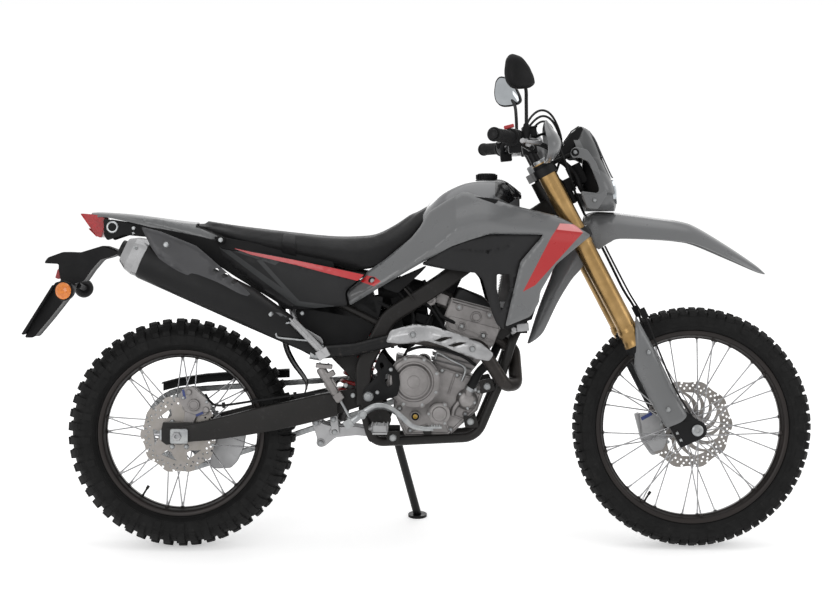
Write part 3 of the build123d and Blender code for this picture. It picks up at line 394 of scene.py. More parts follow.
def tubePart(points, radii, sides=12, spacing=8.0, flatten=1.0):
    # a tube along a smooth path; radii is one number, or (share of length, radius) rows; flatten
    # squeezes it across the bike
    path = smoothPath(points, spacing)
    lengths = [0.0]
    for a, b in zip(path, path[1:]):
        lengths.append(lengths[-1] + (b - a).length)
    rows = [(0, radii), (1, radii)] if isinstance(radii, (int, float)) else radii

    def radiusAt(share):
        for (s0, r0), (s1, r1) in zip(rows, rows[1:]):
            if share <= s1:
                return r0 + (r1 - r0) * max(0.0, share - s0) / max(1e-9, s1 - s0)
        return rows[-1][1]

    out, faces = [], []
    side = None
    for n, spot in enumerate(path):
        way = (path[min(n + 1, len(path) - 1)] - path[max(n - 1, 0)]).normalized()
        if side is None:
            side = axisFrame(way)[1]
        side = (side - way * side.dot(way)).normalized()
        up = way.cross(side)
        r = radiusAt(lengths[n] / lengths[-1])
        for k in range(sides):
            offset = (side * cos(2 * pi * k / sides) + up * sin(2 * pi * k / sides)) * r
            out.append(spot + Vector((offset.x, offset.y * flatten, offset.z)))
    for n in range(len(path) - 1):
        for k in range(sides):
            m = (k + 1) % sides
            faces.append([n * sides + k, n * sides + m, (n + 1) * sides + m, (n + 1) * sides + k])
    faces.append(list(range(sides)))
    faces.append([(len(path) - 1) * sides + k for k in range(sides)])
    return out, faces


def roundCorners(outline, radius, steps=4):
    # an outline's corners as short arcs
    if not radius:
        return list(outline)
    rounded = []
    for n, corner in enumerate(outline):
        before, after = Vector(outline[n - 1]), Vector(outline[(n + 1) % len(outline)])
        here = Vector(corner)
        back, ahead = before - here, after - here
        reach = min(radius, back.length * 0.45, ahead.length * 0.45)
        start, end = here + back.normalized() * reach, here + ahead.normalized() * reach
        for k in range(steps + 1):
            t = k / steps
            rounded.append(tuple((1 - t) ** 2 * start + 2 * t * (1 - t) * here + t * t * end))
    return rounded


def insideOutline(x, z, outline):
    inside = False
    for (x0, z0), (x1, z1) in zip(outline, outline[1:] + outline[:1]):
        if (z0 > z) != (z1 > z) and x < (x1 - x0) * (z - z0) / (z1 - z0) + x0:
            inside = not inside
    return inside


def edgeDistance(x, z, outline):
    best = 1e9
    for (x0, z0), (x1, z1) in zip(outline, outline[1:] + outline[:1]):
        dx, dz = x1 - x0, z1 - z0
        t = max(0.0, min(1.0, ((x - x0) * dx + (z - z0) * dz) / max(1e-9, dx * dx + dz * dz)))
        best = min(best, hypot(x - x0 - t * dx, z - z0 - t * dz))
    return best


def fittedSurface(controls):
    # y over the side view, through (x, z, y) control points: a thin-plate spline
    spots = [(x, z) for x, z, y in controls]
    count = len(spots)
    scale = 300.0

    def kernel(d2):
        return 0.0 if d2 < 1e-12 else 0.5 * d2 * log(d2)

    matrix = np.zeros((count + 3, count + 3))
    target = np.zeros(count + 3)
    for i, (x, z) in enumerate(spots):
        for j, (u, v) in enumerate(spots):
            matrix[i, j] = kernel(((x - u) ** 2 + (z - v) ** 2) / scale ** 2)
        matrix[i, count:] = matrix[count:, i] = (1, x / scale, z / scale)
        target[i] = controls[i][2]
    weights = np.linalg.solve(matrix, target)

    def surface(x, z):
        total = weights[count] + weights[count + 1] * x / scale + weights[count + 2] * z / scale
        for w, (u, v) in zip(weights, spots):
            total += w * kernel(((x - u) ** 2 + (z - v) ** 2) / scale ** 2)
        return float(total)

    return surface


def sheetPart(outline, surface, thickness=4.0, holes=(), corner=6.0, grid=9.0, roll=5.0, rollDepth=5.0, grooves=(),
        back=None):
    # a moulded panel seen from the side: outline and holes in (x, z), outer face at y = surface(x, z),
    # edges rolled inwards, grooves as ((x, z), (x, z), width, depth); the wall is closed all round.
    # its outer side is the one away from the bike's middle
    ring = roundCorners(outline, corner)
    cuts = [roundCorners(hole, min(corner, 5.0)) for hole in holes]
    loops = [ring] + cuts
    points2, edges = [], []
    for loop in loops:
        dense = []
        for a, b in zip(loop, loop[1:] + loop[:1]):
            pieces = max(1, round(hypot(b[0] - a[0], b[1] - a[1]) / grid))
            dense += [(a[0] + (b[0] - a[0]) * k / pieces, a[1] + (b[1] - a[1]) * k / pieces) for k in range(pieces)]
        start = len(points2)
        points2 += dense
        edges += [(start + k, start + (k + 1) % len(dense)) for k in range(len(dense))]
    # a staggered grid inside, clear of the edges
    xs, zs = [p[0] for p in ring], [p[1] for p in ring]
    x = min(xs)
    row = 0
    while x < max(xs):
        z = min(zs) + (grid / 2 if row % 2 else 0)
        while z < max(zs):
            if insideOutline(x, z, ring) and not any(insideOutline(x, z, hole) for hole in cuts):
                if min(edgeDistance(x, z, loop) for loop in loops) > grid * 0.5:
                    points2.append((x, z))
            z += grid
        x += grid * 0.87
        row += 1
    flat, _, flatFaces, *_ = delaunay_2d_cdt([Vector(p) for p in points2], edges, [], 1, 1e-4)
    kept = []
    for face in flatFaces:
        cx = sum(flat[i].x for i in face) / len(face)
        cz = sum(flat[i].y for i in face) / len(face)
        if insideOutline(cx, cz, ring) and not any(insideOutline(cx, cz, hole) for hole in cuts):
            kept.append(list(face))
    sign = 1 if surface(sum(xs) / len(xs), sum(zs) / len(zs)) > 0 else -1
    outer, inner = [], []
    for spot in flat:
        x, z = spot.x, spot.y
        near = min(edgeDistance(x, z, loop) for loop in loops)
        y = surface(x, z)
        if roll and near < roll:
            y -= sign * rollDepth * (1 - sqrt(max(0.0, 1 - (1 - near / roll) ** 2)))
        for (x0, z0), (x1, z1), width, depth in grooves:
            dx, dz = x1 - x0, z1 - z0
            t = max(0.0, min(1.0, ((x - x0) * dx + (z - z0) * dz) / (dx * dx + dz * dz)))
            away = hypot(x - x0 - t * dx, z - z0 - t * dz)
            if away < width:
                y -= sign * depth * (0.5 + 0.5 * cos(pi * away / width))
        outer.append(Vector((x, y, z)))
        inner.append(Vector((x, (y - sign * thickness) if back is None else back, z)))
    count = len(flat)
    faces = [list(face) for face in kept] + [[count + i for i in reversed(face)] for face in kept]
    used = {}
    for face in kept:
        for a, b in zip(face, face[1:] + face[:1]):
            used[(a, b)] = used.get((a, b), 0) + 1
    for a, b in used:
        if (b, a) not in used:
            faces.append([b, a, count + a, count + b])
    return outer + inner, faces


def loftPart(rings):
    # quads between closed rings of as many points, capped at both ends
    size = len(rings[0])
    points = [Vector(p) for ring in rings for p in ring]
    faces = []
    for n in range(len(rings) - 1):
        for k in range(size):
            m = (k + 1) % size
            faces.append([n * size + k, n * size + m, (n + 1) * size + m, (n + 1) * size + k])
    faces.append(list(range(size)))
    faces.append([(len(rings) - 1) * size + k for k in range(size)])
    return points, faces


def platePart(outline, yLow, yHigh, corner=2.0, holes=()):
    # a flat plate across the bike, from yLow to yHigh, with a rounded outline in (x, z)
    if holes:
        sign = 1 if yHigh + yLow > 0 else -1
        face = yHigh if sign > 0 else yLow
        return sheetPart(outline, lambda x, z: face, 0, holes, corner, 400.0, 0.0, 0.0, (),
            yLow if sign > 0 else yHigh)
    ring = roundCorners(outline, corner)
    return loftPart([[(x, yLow, z) for x, z in ring], [(x, yHigh, z) for x, z in ring]])


def platePair(outline, y, half, corner):
    # a plate on each side of the bike, half is half its thickness
    return [platePart(outline, side * y - half, side * y + half, corner) for side in (-1, 1)]


def turnedPair(spot, profile, steps):
    # a turned part on each side of the bike, its axis pointing outwards
    x, y, z = spot
    return [turnedPart((x, side * y, z), (0, side, 0), profile, steps) for side in (-1, 1)]


def boxPart(centre, size, turn=0.0):
    # a block about a centre, turned about y in the side view
    cx, cy, cz = centre
    hx, hy, hz = (s / 2 for s in size)
    ring = []
    for x, z in ((-hx, -hz), (hx, -hz), (hx, hz), (-hx, hz)):
        ring.append((cx + x * cos(turn) - z * sin(turn), cz + x * sin(turn) + z * cos(turn)))
    return loftPart([[(x, cy - hy, z) for x, z in ring], [(x, cy + hy, z) for x, z in ring]])


def geometryTree(name, inputs):
    # an empty Geometry Nodes tree with named inputs: (name, socket kind, value)
    tree = bpy.data.node_groups.new(name, "GeometryNodeTree")
    tree.interface.new_socket("Geometry", in_out="INPUT", socket_type="NodeSocketGeometry")
    tree.interface.new_socket("Geometry", in_out="OUTPUT", socket_type="NodeSocketGeometry")
    for inputName, kind, value in inputs:
        socket = tree.interface.new_socket(inputName, in_out="INPUT", socket_type="NodeSocket" + kind)
        socket.default_value = value
    return tree, addNode(tree, "NodeGroupInput"), addNode(tree, "NodeGroupOutput")


def grown(name, source, tree, values, finishName, body, replaced=()):
    # runs a tree on a start mesh and keeps the result as a plain mesh
    holder = bpy.data.objects.new(name, source)
    bpy.context.scene.collection.objects.link(holder)
    modifier = holder.modifiers.new("grow", "NODES")
    modifier.node_group = tree
    for item in tree.interface.items_tree:
        if item.item_type == "SOCKET" and item.in_out == "INPUT" and item.name in values:
            modifier[item.identifier] = values[item.name]
    bpy.context.view_layer.update()
    mesh = bpy.data.meshes.new_from_object(holder.evaluated_get(bpy.context.evaluated_depsgraph_get()))
    holder.modifiers.clear()
    holder.data = mesh
    mesh.name = name
    if not mesh.materials:
        mesh.materials.append(finishes[finishName])
    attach(holder, body)
    if replaced:
        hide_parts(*replaced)
    return holder


def pointsMesh(name, spots):
    # start points for a tree: (position, direction, size) in millimetres, kept as attributes
    mesh = bpy.data.meshes.new(name)
    mesh.from_pydata([bikeToRow @ Vector(s[0]) for s in spots], [], [])
    mesh.attributes.new("facing", "FLOAT_VECTOR", "POINT")
    mesh.attributes.new("girth", "FLOAT", "POINT")
    facing, girth = mesh.attributes["facing"], mesh.attributes["girth"]
    turnOnly = leanTurn.to_3x3()
    for n, (spot, way, size) in enumerate(spots):
        facing.data[n].vector = turnOnly @ Vector(way)
        girth.data[n].value = size / 1000
    return mesh


def screwTree():
    # flanged hexagon heads set on points: the flange's radius is the point's girth
    tree, given, made = geometryTree("screws", [("Head", "Float", 0.62), ("Height", "Float", 0.75)])
    girth = addNode(tree, "GeometryNodeInputNamedAttribute", {"data_type": "FLOAT"}, Name="girth")
    facing = addNode(tree, "GeometryNodeInputNamedAttribute", {"data_type": "FLOAT_VECTOR"}, Name="facing")
    flange = addNode(tree, "GeometryNodeMeshCone", None, Vertices=20, RadiusBottom=1.0, RadiusTop=0.78, Depth=0.28)
    hexagon = addNode(tree, "GeometryNodeMeshCone", None, Vertices=6, RadiusBottom=given.outputs["Head"],
        RadiusTop=0.56, Depth=given.outputs["Height"])
    raised = addNode(tree, "GeometryNodeTransform", None, Geometry=hexagon.outputs[0], Translation=(0, 0, 0.2))
    both = addNode(tree, "GeometryNodeJoinGeometry")
    tree.links.new(flange.outputs[0], both.inputs[0])
    tree.links.new(raised.outputs[0], both.inputs[0])
    turn = addNode(tree, "FunctionNodeAlignRotationToVector", {"axis": "Z"}, Vector=facing)
    placed = addNode(tree, "GeometryNodeInstanceOnPoints", None, Points=given.outputs[0], Instance=both,
        Rotation=turn, Scale=girth)
    real = addNode(tree, "GeometryNodeRealizeInstances", None, Geometry=placed)
    dressed = addNode(tree, "GeometryNodeSetMaterial", None, Geometry=real, Material=finishes["zincPlate"])
    tree.links.new(dressed.outputs[0], made.inputs[0])
    return tree


screws = screwTree()


def screwSet(name, body, spots):
    grown(name, pointsMesh(name, spots), screws, {}, "zincPlate", body)


def aroundTree():
    # copies of a mesh turned about an axle
    tree, given, made = geometryTree("aroundAxle",
        [("Count", "Int", 12), ("Centre", "Vector", (0, 0, 0)), ("Axle", "Vector", (0, 1, 0)),
        ("Finish", "Material", None)])
    line = addNode(tree, "GeometryNodeMeshLine", None, Count=given.outputs["Count"], Offset=(0, 0, 0))
    number = addNode(tree, "GeometryNodeInputIndex")
    step = addNode(tree, "ShaderNodeMath", {"operation": "DIVIDE"}, i0=2 * pi, i1=given.outputs["Count"])
    angle = addNode(tree, "ShaderNodeMath", {"operation": "MULTIPLY"}, i0=number, i1=step)
    turn = addNode(tree, "FunctionNodeAxisAngleToRotation", None, Axis=given.outputs["Axle"], Angle=angle)
    back = addNode(tree, "ShaderNodeVectorMath", {"operation": "SCALE"}, i0=given.outputs["Centre"], Scale=-1.0)
    centred = addNode(tree, "GeometryNodeTransform", None, Geometry=given.outputs[0], Translation=back.outputs[0])
    copies = addNode(tree, "GeometryNodeInstanceOnPoints", None, Points=line, Instance=centred, Rotation=turn)
    placed = addNode(tree, "GeometryNodeTransform", None, Geometry=copies, Translation=given.outputs["Centre"])
    real = addNode(tree, "GeometryNodeRealizeInstances", None, Geometry=placed)
    dressed = addNode(tree, "GeometryNodeSetMaterial", None, Geometry=real, Material=given.outputs["Finish"])
    tree.links.new(dressed.outputs[0], made.inputs[0])
    return tree


around = aroundTree()


def sourceMesh(name, part, smooth=False):
    # a part as a start mesh for a tree, its normals outwards
    mesh = bpy.data.meshes.new(name)
    mesh.from_pydata([bikeToRow @ Vector(p) for p in part[0]], [], part[1])
    work = bmesh.new()
    work.from_mesh(mesh)
    bmesh.ops.recalc_face_normals(work, faces=work.faces)
    for face in work.faces:
        face.smooth = smooth
    work.to_mesh(mesh)
    work.free()
    if smooth:
        mesh.set_sharp_from_angle(angle=copySharpAngle)
    return mesh


def aroundAxle(name, part, axle, count, finishName, body, smooth=False):
    return grown(name, sourceMesh(name, part, smooth), around,
        {"Count": count, "Centre": tuple(bikeToRow @ axle), "Axle": tuple(leanTurn @ left),
        "Finish": finishes[finishName]}, finishName, body)


def lugPart(axle, tipRadius, crown, yIn, yOut, phase, length, height, drop, skew=0.0):
    # one tread block: from yIn to yOut, length along the tread; drop reaches down the sidewall
    points, faces = [], []

    def top(y):
        return tipRadius - crown + sqrt(crown ** 2 - y ** 2)

    steps = 3
    across = [yIn + (yOut - yIn) * n / steps for n in range(steps + 1)]
    rows = [(y, top(y)) for y in across]
    for side in (-1, 1):
        for n, (y, r) in enumerate(rows):
            share = n / steps
            half = length / 2 * (1 - 0.10 * share)
            angleTop = phase + (side * half * 0.86 + skew * share) / tipRadius
            angleFoot = phase + (side * half * 1.06 + skew * share) / tipRadius
            bulge = 1.2 if abs(y) == abs(yOut) else 0
            for angle, radius, out in ((angleTop, r, 0.0), (angleFoot, r - height, bulge)):
                yy = y + (out if y > 0 else -out)
                points.append(axle + Vector((cos(angle) * radius, yy, sin(angle) * radius)))
    count = 2 * (steps + 1)
    for n in range(steps):
        a, b = 2 * n, 2 * n + 2
        faces += [[a, b, count + b, count + a], [a + 1, count + a + 1, count + b + 1, b + 1], [a, a + 1, b + 1, b],
            [count + a, count + b, count + b + 1, count + a + 1]]
    faces.append([0, count, count + 1, 1])
    if not drop:
        faces.append([2 * steps, 2 * steps + 1, count + 2 * steps + 1, count + 2 * steps])
    else:
        # the shoulder runs down the sidewall as a tapered rib
        low = len(points)
        y = yOut * 0.985
        radius = top(yOut) - height - drop
        for side in (-1, 1):
            angle = phase + (side * length * 0.40 + skew) / tipRadius
            points.append(axle + Vector((cos(angle) * radius, y, sin(angle) * radius)))
        e = 2 * steps
        faces += [[e, low, low + 1, count + e], [e + 1, count + e + 1, low + 1, low], [e, e + 1, low],
            [count + e, low + 1, count + e + 1]]
    return points, faces


# rows of lugs: from and to as shares of the half width, phase of the repeat, length, drop, skew
wheels = {
    "front": {"axle": frontAxle, "body": "front_wheel", "tip": 341.0, "half": 45.0, "bead": 266.7, "rimHalf": 27.0,
        "repeats": 38, "lugHeight": 10.0, "spokes": 36, "flange": 33.0,
        "rows": [(0.62, 1.0, 0.0, 27.0, 15.0, 0.0), (0.32, 0.84, 0.5, 21.0, 0.0, 2.0),
        (0.03, 0.5, 0.0, 19.0, 0.0, -2.0), (-0.18, 0.18, 0.5, 18.0, 0.0, 0.0)]},
    "rear": {"axle": rearAxle, "body": "rear_wheel", "tip": 325.0, "half": 62.0, "bead": 228.6, "rimHalf": 34.0,
        "repeats": 25, "lugHeight": 12.0, "spokes": 32, "flange": 40.0,
        "rows": [(0.66, 1.0, 0.0, 27.0, 24.0, 3.0), (0.60, 1.0, 0.5, 24.0, 10.0, -3.0),
        (0.28, 0.54, 0.02, 22.0, 0.0, 3.0), (0.28, 0.5, 0.5, 22.0, 0.0, -3.0), (-0.22, 0.22, 0.06, 22.0, 0.0, 0.0),
        (-0.22, 0.22, 0.56, 22.0, 0.0, 0.0)]},
}
crownRadius = 75.0


def carcassProfile(w):
    # (y, radius) from the left bead over the crown to the right one
    base = w["tip"] - w["lugHeight"]
    half, bead, rim = w["half"], w["bead"], w["rimHalf"]
    drop = crownRadius - sqrt(crownRadius ** 2 - half ** 2)
    edge = base - drop
    right = [(rim - 4, bead - 1), (rim - 3.2, bead + 9), (rim - 0.5, bead + 9.4), (rim + 2, bead + 10.5),
        (rim + 2.6, bead + 12), (rim + 4, bead + 12.2), (rim + (half - rim) * 0.55, bead + (edge - bead) * 0.42),
        (rim + (half - rim) * 0.6, bead + (edge - bead) * 0.45),
        (rim + (half - rim) * 0.66, bead + (edge - bead) * 0.45), (half * 0.955, bead + (edge - bead) * 0.72),
        (half * 0.99, edge - 7), (half * 0.985, edge - 1)]
    for n in range(5):
        y = half * (0.9 - 0.2 * n)
        right.append((y, base - crownRadius + sqrt(crownRadius ** 2 - y ** 2)))
    return right + [(0, base)] + [(-y, r) for y, r in reversed(right)]


def rimProfile(w):
    bead, half = w["bead"], w["rimHalf"]
    side = [(half - 3, bead + 7), (half - 1.4, bead + 8.6), (half, bead + 7.6), (half + 0.2, bead + 3),
        (half - 1.2, bead - 2), (half - 3.4, bead - 5), (half - 7, bead - 7), (half * 0.5, bead - 10),
        (9.5, bead - 12.5), (8, bead - 14.5)]
    return side + [(-y, r) for y, r in reversed(side)] + [(3 - half, bead), (half - 3, bead), side[0]]


def wheelPieces(name, w):
    axle, body = w["axle"], w["body"]
    meshPiece(f"{name}Carcass", turnedPart(axle, left, carcassProfile(w), 144), "tyreRubber", body,
        (f"{name}_tyre",))
    lugs = []
    repeat = 2 * pi / w["repeats"]
    for fromY, toY, phase, length, drop, skew in w["rows"]:
        angle = -pi / 2 + phase * repeat
        lug = lugPart(axle, w["tip"], crownRadius, fromY * w["half"], toY * w["half"], angle, length, w["lugHeight"]
            + 1.5, drop, skew)
        lugs.append(lug)
        if fromY > 0:
            lugs.append(mirrorPart(lug))
    aroundAxle(f"{name}Lugs", joinParts(lugs), axle, w["repeats"], "tyreRubber", body)
    meshPiece(f"{name}RimRing", turnedPart(axle, left, rimProfile(w), 144), "rimAnodise", body, (f"{name}_rim",))
    # a nipple and its swaged seat for each spoke; two crossed pairs make the repeat
    nipples, seats = [], []
    flange, foot, sweep = 27.0, w["bead"] - 13.0, radians(56)
    for n in range(4):
        side = 1 if n % 2 else -1
        outer = (n // 2) % 2
        hubAngle = 2 * pi * n / w["spokes"]
        rimAngle = hubAngle + (sweep if outer else -sweep)
        head = axle + Vector(((w["flange"] - 5) * cos(hubAngle), side * (32.0 if outer else flange),
            (w["flange"] - 5) * sin(hubAngle)))
        end = axle + Vector((foot * cos(rimAngle), side * (8.5 if outer else 3.0), foot * sin(rimAngle)))
        way = (head - end).normalized()
        nipples.append(turnedPart(end, way, [(-3, 0), (-3, 3.2), (5, 3.0), (6, 2.6), (15, 2.3), (16, 0)], 8))
        seats.append(turnedPart(end, way, [(-6, 0), (-6, 7.5), (0.5, 6.5), (3.2, 4.5), (3.4, 0)], 12))
        nipples.append(turnedPart(head, (axle + left * head.y - head).normalized().cross(left), [
            (-3.4, 0), (-3.4, 2.6), (3.4, 2.6), (3.4, 0)], 8))
    aroundAxle(f"{name}Nipples", joinParts(nipples), axle, w["spokes"] // 4, "brightSteel", body, smooth=True)
    aroundAxle(f"{name}NippleSeats", joinParts(seats), axle, w["spokes"] // 4, "rimAnodise", body, smooth=True)
    # the valve's stem
    stem = axle + Vector((cos(radians(238)), 0, sin(radians(238)))) * (w["bead"] - 8)
    meshPiece(f"{name}Valve",
        turnedPart(stem, axle - stem,
        [(-6, 0), (-6, 7), (1.5, 7), (2, 4), (9, 3.8), (9.5, 2.8), (28, 2.8), (28.5, 4.2), (38, 4.2), (39, 3),
        (39, 0)], 12), "blackPowder", body)


def discPart(axle, radius, petals, wave, y, thick, holes, windows, hubRadius):
    # a wavy drilled disc; holes: (radius, count, hole radius, phase) rows; windows: count, from, to, width, lean
    def spot(r, angle):
        return axle.x + r * cos(angle), axle.z + r * sin(angle)

    outline = []
    for n in range(180):
        a = 2 * pi * n / 180
        outline.append(spot(radius - wave * (1 - cos(petals * a)) / 2, a))
    cuts = []
    for r, count, holeRadius, phase in holes:
        for n in range(count):
            cx, cz = spot(r, 2 * pi * (n + phase) / count)
            cuts.append([(cx + holeRadius * cos(2 * pi * k / 10), cz + holeRadius * sin(2 * pi * k / 10))
                for k in range(10)])
    count, rLow, rHigh, width, leanAngle = windows
    for n in range(count):
        middle = 2 * pi * n / count
        ahead, behind = [], []
        for k in range(7):
            r = rLow + (rHigh - rLow) * k / 6
            a = middle + leanAngle * (k / 6) ** 1.3
            spread = width / 2 * (0.35 + 0.65 * min(1, (r - rLow) / (rHigh - rLow) + 0.1))
            ahead.append(spot(r, a + spread))
            behind.append(spot(r, a - spread))
        cuts.append(ahead + behind[::-1])
    cuts.append([spot(hubRadius, 2 * pi * k / 48) for k in range(48)])
    return platePart(outline, y - thick / 2, y + thick / 2, 0, cuts)


discs = {
    "front": {"radius": 128.0, "petals": 10, "wave": 7.0, "y": 60.0, "thick": 3.6,
        "holes": [(121.0, 20, 3.6, 0.5), (113.0, 40, 3.2, 0.25), (104.0, 40, 3.2, 0.7)],
        "windows": (14, 47.0, 93.0, 0.30, 0.62), "hub": 30.0},
    "rear": {"radius": 110.0, "petals": 10, "wave": 7.0, "y": -70.0, "thick": 4.0,
        "holes": [(103.0, 20, 3.8, 0.5), (95.0, 30, 3.2, 0.2), (87.0, 30, 3.2, 0.7)],
        "windows": (6, 56.0, 76.0, 0.62, 0.12), "hub": 30.0},
}

for wheelName, wheelSizes in wheels.items():
    wheelPieces(wheelName, wheelSizes)
    d = discs[wheelName]
    meshPiece(f"{wheelName}Disc",
        discPart(wheelSizes["axle"], d["radius"], d["petals"], d["wave"], d["y"], d["thick"], d["holes"],
        d["windows"], d["hub"]), "discSteel", wheelSizes["body"], (f"{wheelName}_disc",), smooth=False)
    sign = 1 if d["y"] > 0 else -1
    bolts = [wheelSizes["axle"] + Vector((40 * cos(2 * pi * n / 6), d["y"] + sign * 2.4, 40 * sin(2 * pi * n / 6)))
        for n in range(6)]
    screwSet(f"{wheelName}DiscBolts", wheelSizes["body"], [(bolt, left * sign, 7.5) for bolt in bolts])

hubs = {
    "front": [(-60, 10.2), (-60, 17), (-52, 19), (-46, 20), (-33, 22), (-32, 34), (-30, 35.5), (-27, 35), (-26, 22),
        (-14, 19), (14, 19), (26, 22), (27, 35), (30, 35.5), (32, 34), (34, 24), (47, 24), (49, 46), (57, 46),
        (58, 44), (58, 32), (61, 20), (64, 18), (64, 10.2)],
    "rear": [(-84, 10.2), (-84, 18), (-74, 20), (-68, 24), (-68, 52), (-61, 53), (-59, 30), (-33, 26), (-32, 41),
        (-30, 42.5), (-27, 42), (-25, 26), (-12, 22), (12, 22), (25, 26), (27, 42), (30, 42.5), (32, 41), (34, 30),
        (66, 32), (67, 54), (74, 56), (75, 54), (76, 30), (84, 22), (88, 18), (88, 10.2)],
}
for wheelName, rows in hubs.items():
    w = wheels[wheelName]
    meshPiece(f"{wheelName}HubBody", turnedPart(w["axle"], left, rows, 64), "castAlloy", w["body"],
        (f"{wheelName}_hub",))

sprocket = {"teeth": 45, "tip": 109.0, "root": 102.0, "y": 78.0, "thick": 5.0}
teethRing = []
for n in range(sprocket["teeth"] * 4):
    r = (sprocket["root"], sprocket["root"] + 1, sprocket["tip"], sprocket["tip"])[n % 4]
    a = 2 * pi * (n + (0.15 if n % 4 == 2 else -0.15 if n % 4 == 3 else 0)) / (sprocket["teeth"] * 4)
    teethRing.append((r * cos(a), rearAxle.z + r * sin(a)))
windowCorners = [(92, 0.36), (92, 0.12), (92, -0.12), (92, -0.36), (66, -0.28), (62, 0), (66, 0.28)]
sprocketCuts = []
for n in range(6):
    middle = 2 * pi * (n + 0.5) / 6
    sprocketCuts.append([(r * cos(middle + a), rearAxle.z + r * sin(middle + a)) for r, a in windowCorners])
sprocketCuts.append([(34 * cos(2 * pi * k / 40), rearAxle.z + 34 * sin(2 * pi * k / 40)) for k in range(40)])
meshPiece("sprocketPlate", platePart(teethRing, sprocket["y"] - 2.5, sprocket["y"] + 2.5, 0, sprocketCuts),
    "zincPlate", "rear_wheel", ("rear_sprocket",), smooth=False)
screwSet("sprocketBolts", "rear_wheel", [
    (rearAxle + Vector((50 * cos(2 * pi * n / 6), 81, 50 * sin(2 * pi * n / 6))), left, 8.0) for n in range(6)])
print("wheels made")


def smoothRows(rows, steps=5):
    # rows of numbers with smooth rows between them
    ends = [[2 * a - b for a, b in zip(rows[0], rows[1])], *rows, [2 * a - b for a, b in zip(rows[-1], rows[-2])]]
    out = []
    for before, first, second, after in zip(ends, ends[1:], ends[2:], ends[3:]):
        for n in range(steps):
            t = n / steps
            out.append([0.5 * (2 * b + (c - a) * t + (2 * a - 5 * b + 4 * c - d) * t * t
                + (3 * b - a - 3 * c + d) * t ** 3) for a, b, c, d in zip(before, first, second, after)])
    return out + [list(rows[-1])]


def alongX(s, y, h):
    return (s, y, h)


def upright(s, y, h):
    return (h, y, s)


def archPart(rows, thickness=4.0, across=28, power=2.3, place=alongX, steps=5, ridge=0.0, step=None):
    # an arched shell; rows are (place along, half width, edge, crown); ridge lifts its middle line,
    # and step (from share, to share, depth, start, end) sinks its flanks
    outer, inner = [], []
    for s, wide, low, high in smoothRows(rows, steps):
        toCrown = 1 if high > low else -1
        up, down = [], []
        for k in range(across + 1):
            share = -1 + 2 * k / across
            share = sin(share * pi / 2)
            y = wide * share
            h = low + (high - low) * (1 - abs(share) ** power) ** (1 / power)
            h += toCrown * ridge * max(0.0, 1 - abs(y) / 16)
            flare = 0.0
            if step:
                sink = max(0.0, min(1.0, (abs(share) - step[0]) / (step[1] - step[0])))
                sink *= max(0.0, min(1.0, (s - step[3]) / 30, (step[4] - s) / 60))
                flare -= step[2] * sink
            up.append(Vector(place(s, y + flare * (1 if y > 0 else -1), h)))
            lean = max(0.15, (1 - abs(share) ** power) ** 0.5)
            down.append(Vector(place(s, y * (wide - thickness) / wide + flare * (1 if y > 0 else -1),
                h - toCrown * thickness * lean)))
        outer.append(up)
        inner.append(down)
    count, rings = across + 1, len(outer)
    points = [p for ring in outer for p in ring] + [p for ring in inner for p in ring]
    low = rings * count
    faces = []
    for n in range(rings - 1):
        for k in range(across):
            a, b, c, d = n * count + k, n * count + k + 1, (n + 1) * count + k + 1, (n + 1) * count + k
            faces += [[a, b, c, d], [low + d, low + c, low + b, low + a]]
        for k in (0, across):
            a, b = n * count + k, (n + 1) * count + k
            faces.append([a, b, low + b, low + a])
    for n in (0, rings - 1):
        for k in range(across):
            a, b = n * count + k, n * count + k + 1
            faces.append([a, b, low + b, low + a])
    return points, faces


def tableAt(rows, x):
    # straight lines between rows of (x, values...)
    if x <= rows[0][0]:
        return rows[0][1:]
    for left0, right0 in zip(rows, rows[1:]):
        if x <= right0[0]:
            t = (x - left0[0]) / (right0[0] - left0[0])
            return [a + (b - a) * t for a, b in zip(left0[1:], right0[1:])]
    return rows[-1][1:]


def creasedSurface(ridge, section):
    # y on the right side from a ridge line, rows (x, z, y), and a section, rows (height below the
    # ridge, how far in)
    def surface(x, z):
        ridgeZ, ridgeY = tableAt(ridge, x)
        return ridgeY + tableAt(section, ridgeZ - z)[0]
    return surface


def sidePair(name, part, finishName, body, replaced=(), **options):
    # the right piece and its mirror image
    meshPiece(name + "Right", part, finishName, body, replaced, **options)
    meshPiece(name + "Left", mirrorPart(part), finishName, body, replaced, **options)


shroud = {
    "outline": [(678, 806), (571, 743), (483, 689), (476, 724), (480, 734), (506, 756), (527, 775), (531, 785),
        (581, 819), (624, 854), (655, 880), (680, 911), (702, 951), (752, 984), (804, 1010), (838, 998), (885, 985),
        (966, 963), (1055, 942), (1098, 921), (1121, 905), (1152, 886), (1055, 805), (1013, 731), (1009, 700),
        (986, 661), (916, 632), (957, 812), (1021, 888), (873, 890), (819, 874), (765, 855)],
    # the crease that runs forward along the panel: x, z, y
    "ridge": [(470, 706, -130), (571, 754, -136), (678, 822, -154), (740, 866, -172), (776, 899, -181),
        (835, 917, -185), (865, 919, -187), (924, 908, -192), (1020, 899, -198), (1152, 886, -203)],
    # height below the crease, how far in
    "section": [(-130, 66), (-60, 31), (-30, 13), (-8, 2), (0, 0), (10, 5), (24, 10), (60, 12), (120, 10),
        (280, 26)],
}
shroudFace = creasedSurface(shroud["ridge"], shroud["section"])
sidePair("shroud", sheetPart(shroud["outline"], shroudFace, 3.5, corner=9, grid=7.0, roll=6, rollDepth=5),
    "shroudAbs", "chassis", ("shrouds",))
sidePair("recessTrim",
    sheetPart([(832, 994), (874, 990), (898, 985), (889, 973)], lambda x, z: shroudFace(x, z) - 1.0, 2.0, (), 2,
    6.0, 1.5, 1.0), "blackPp", "chassis")
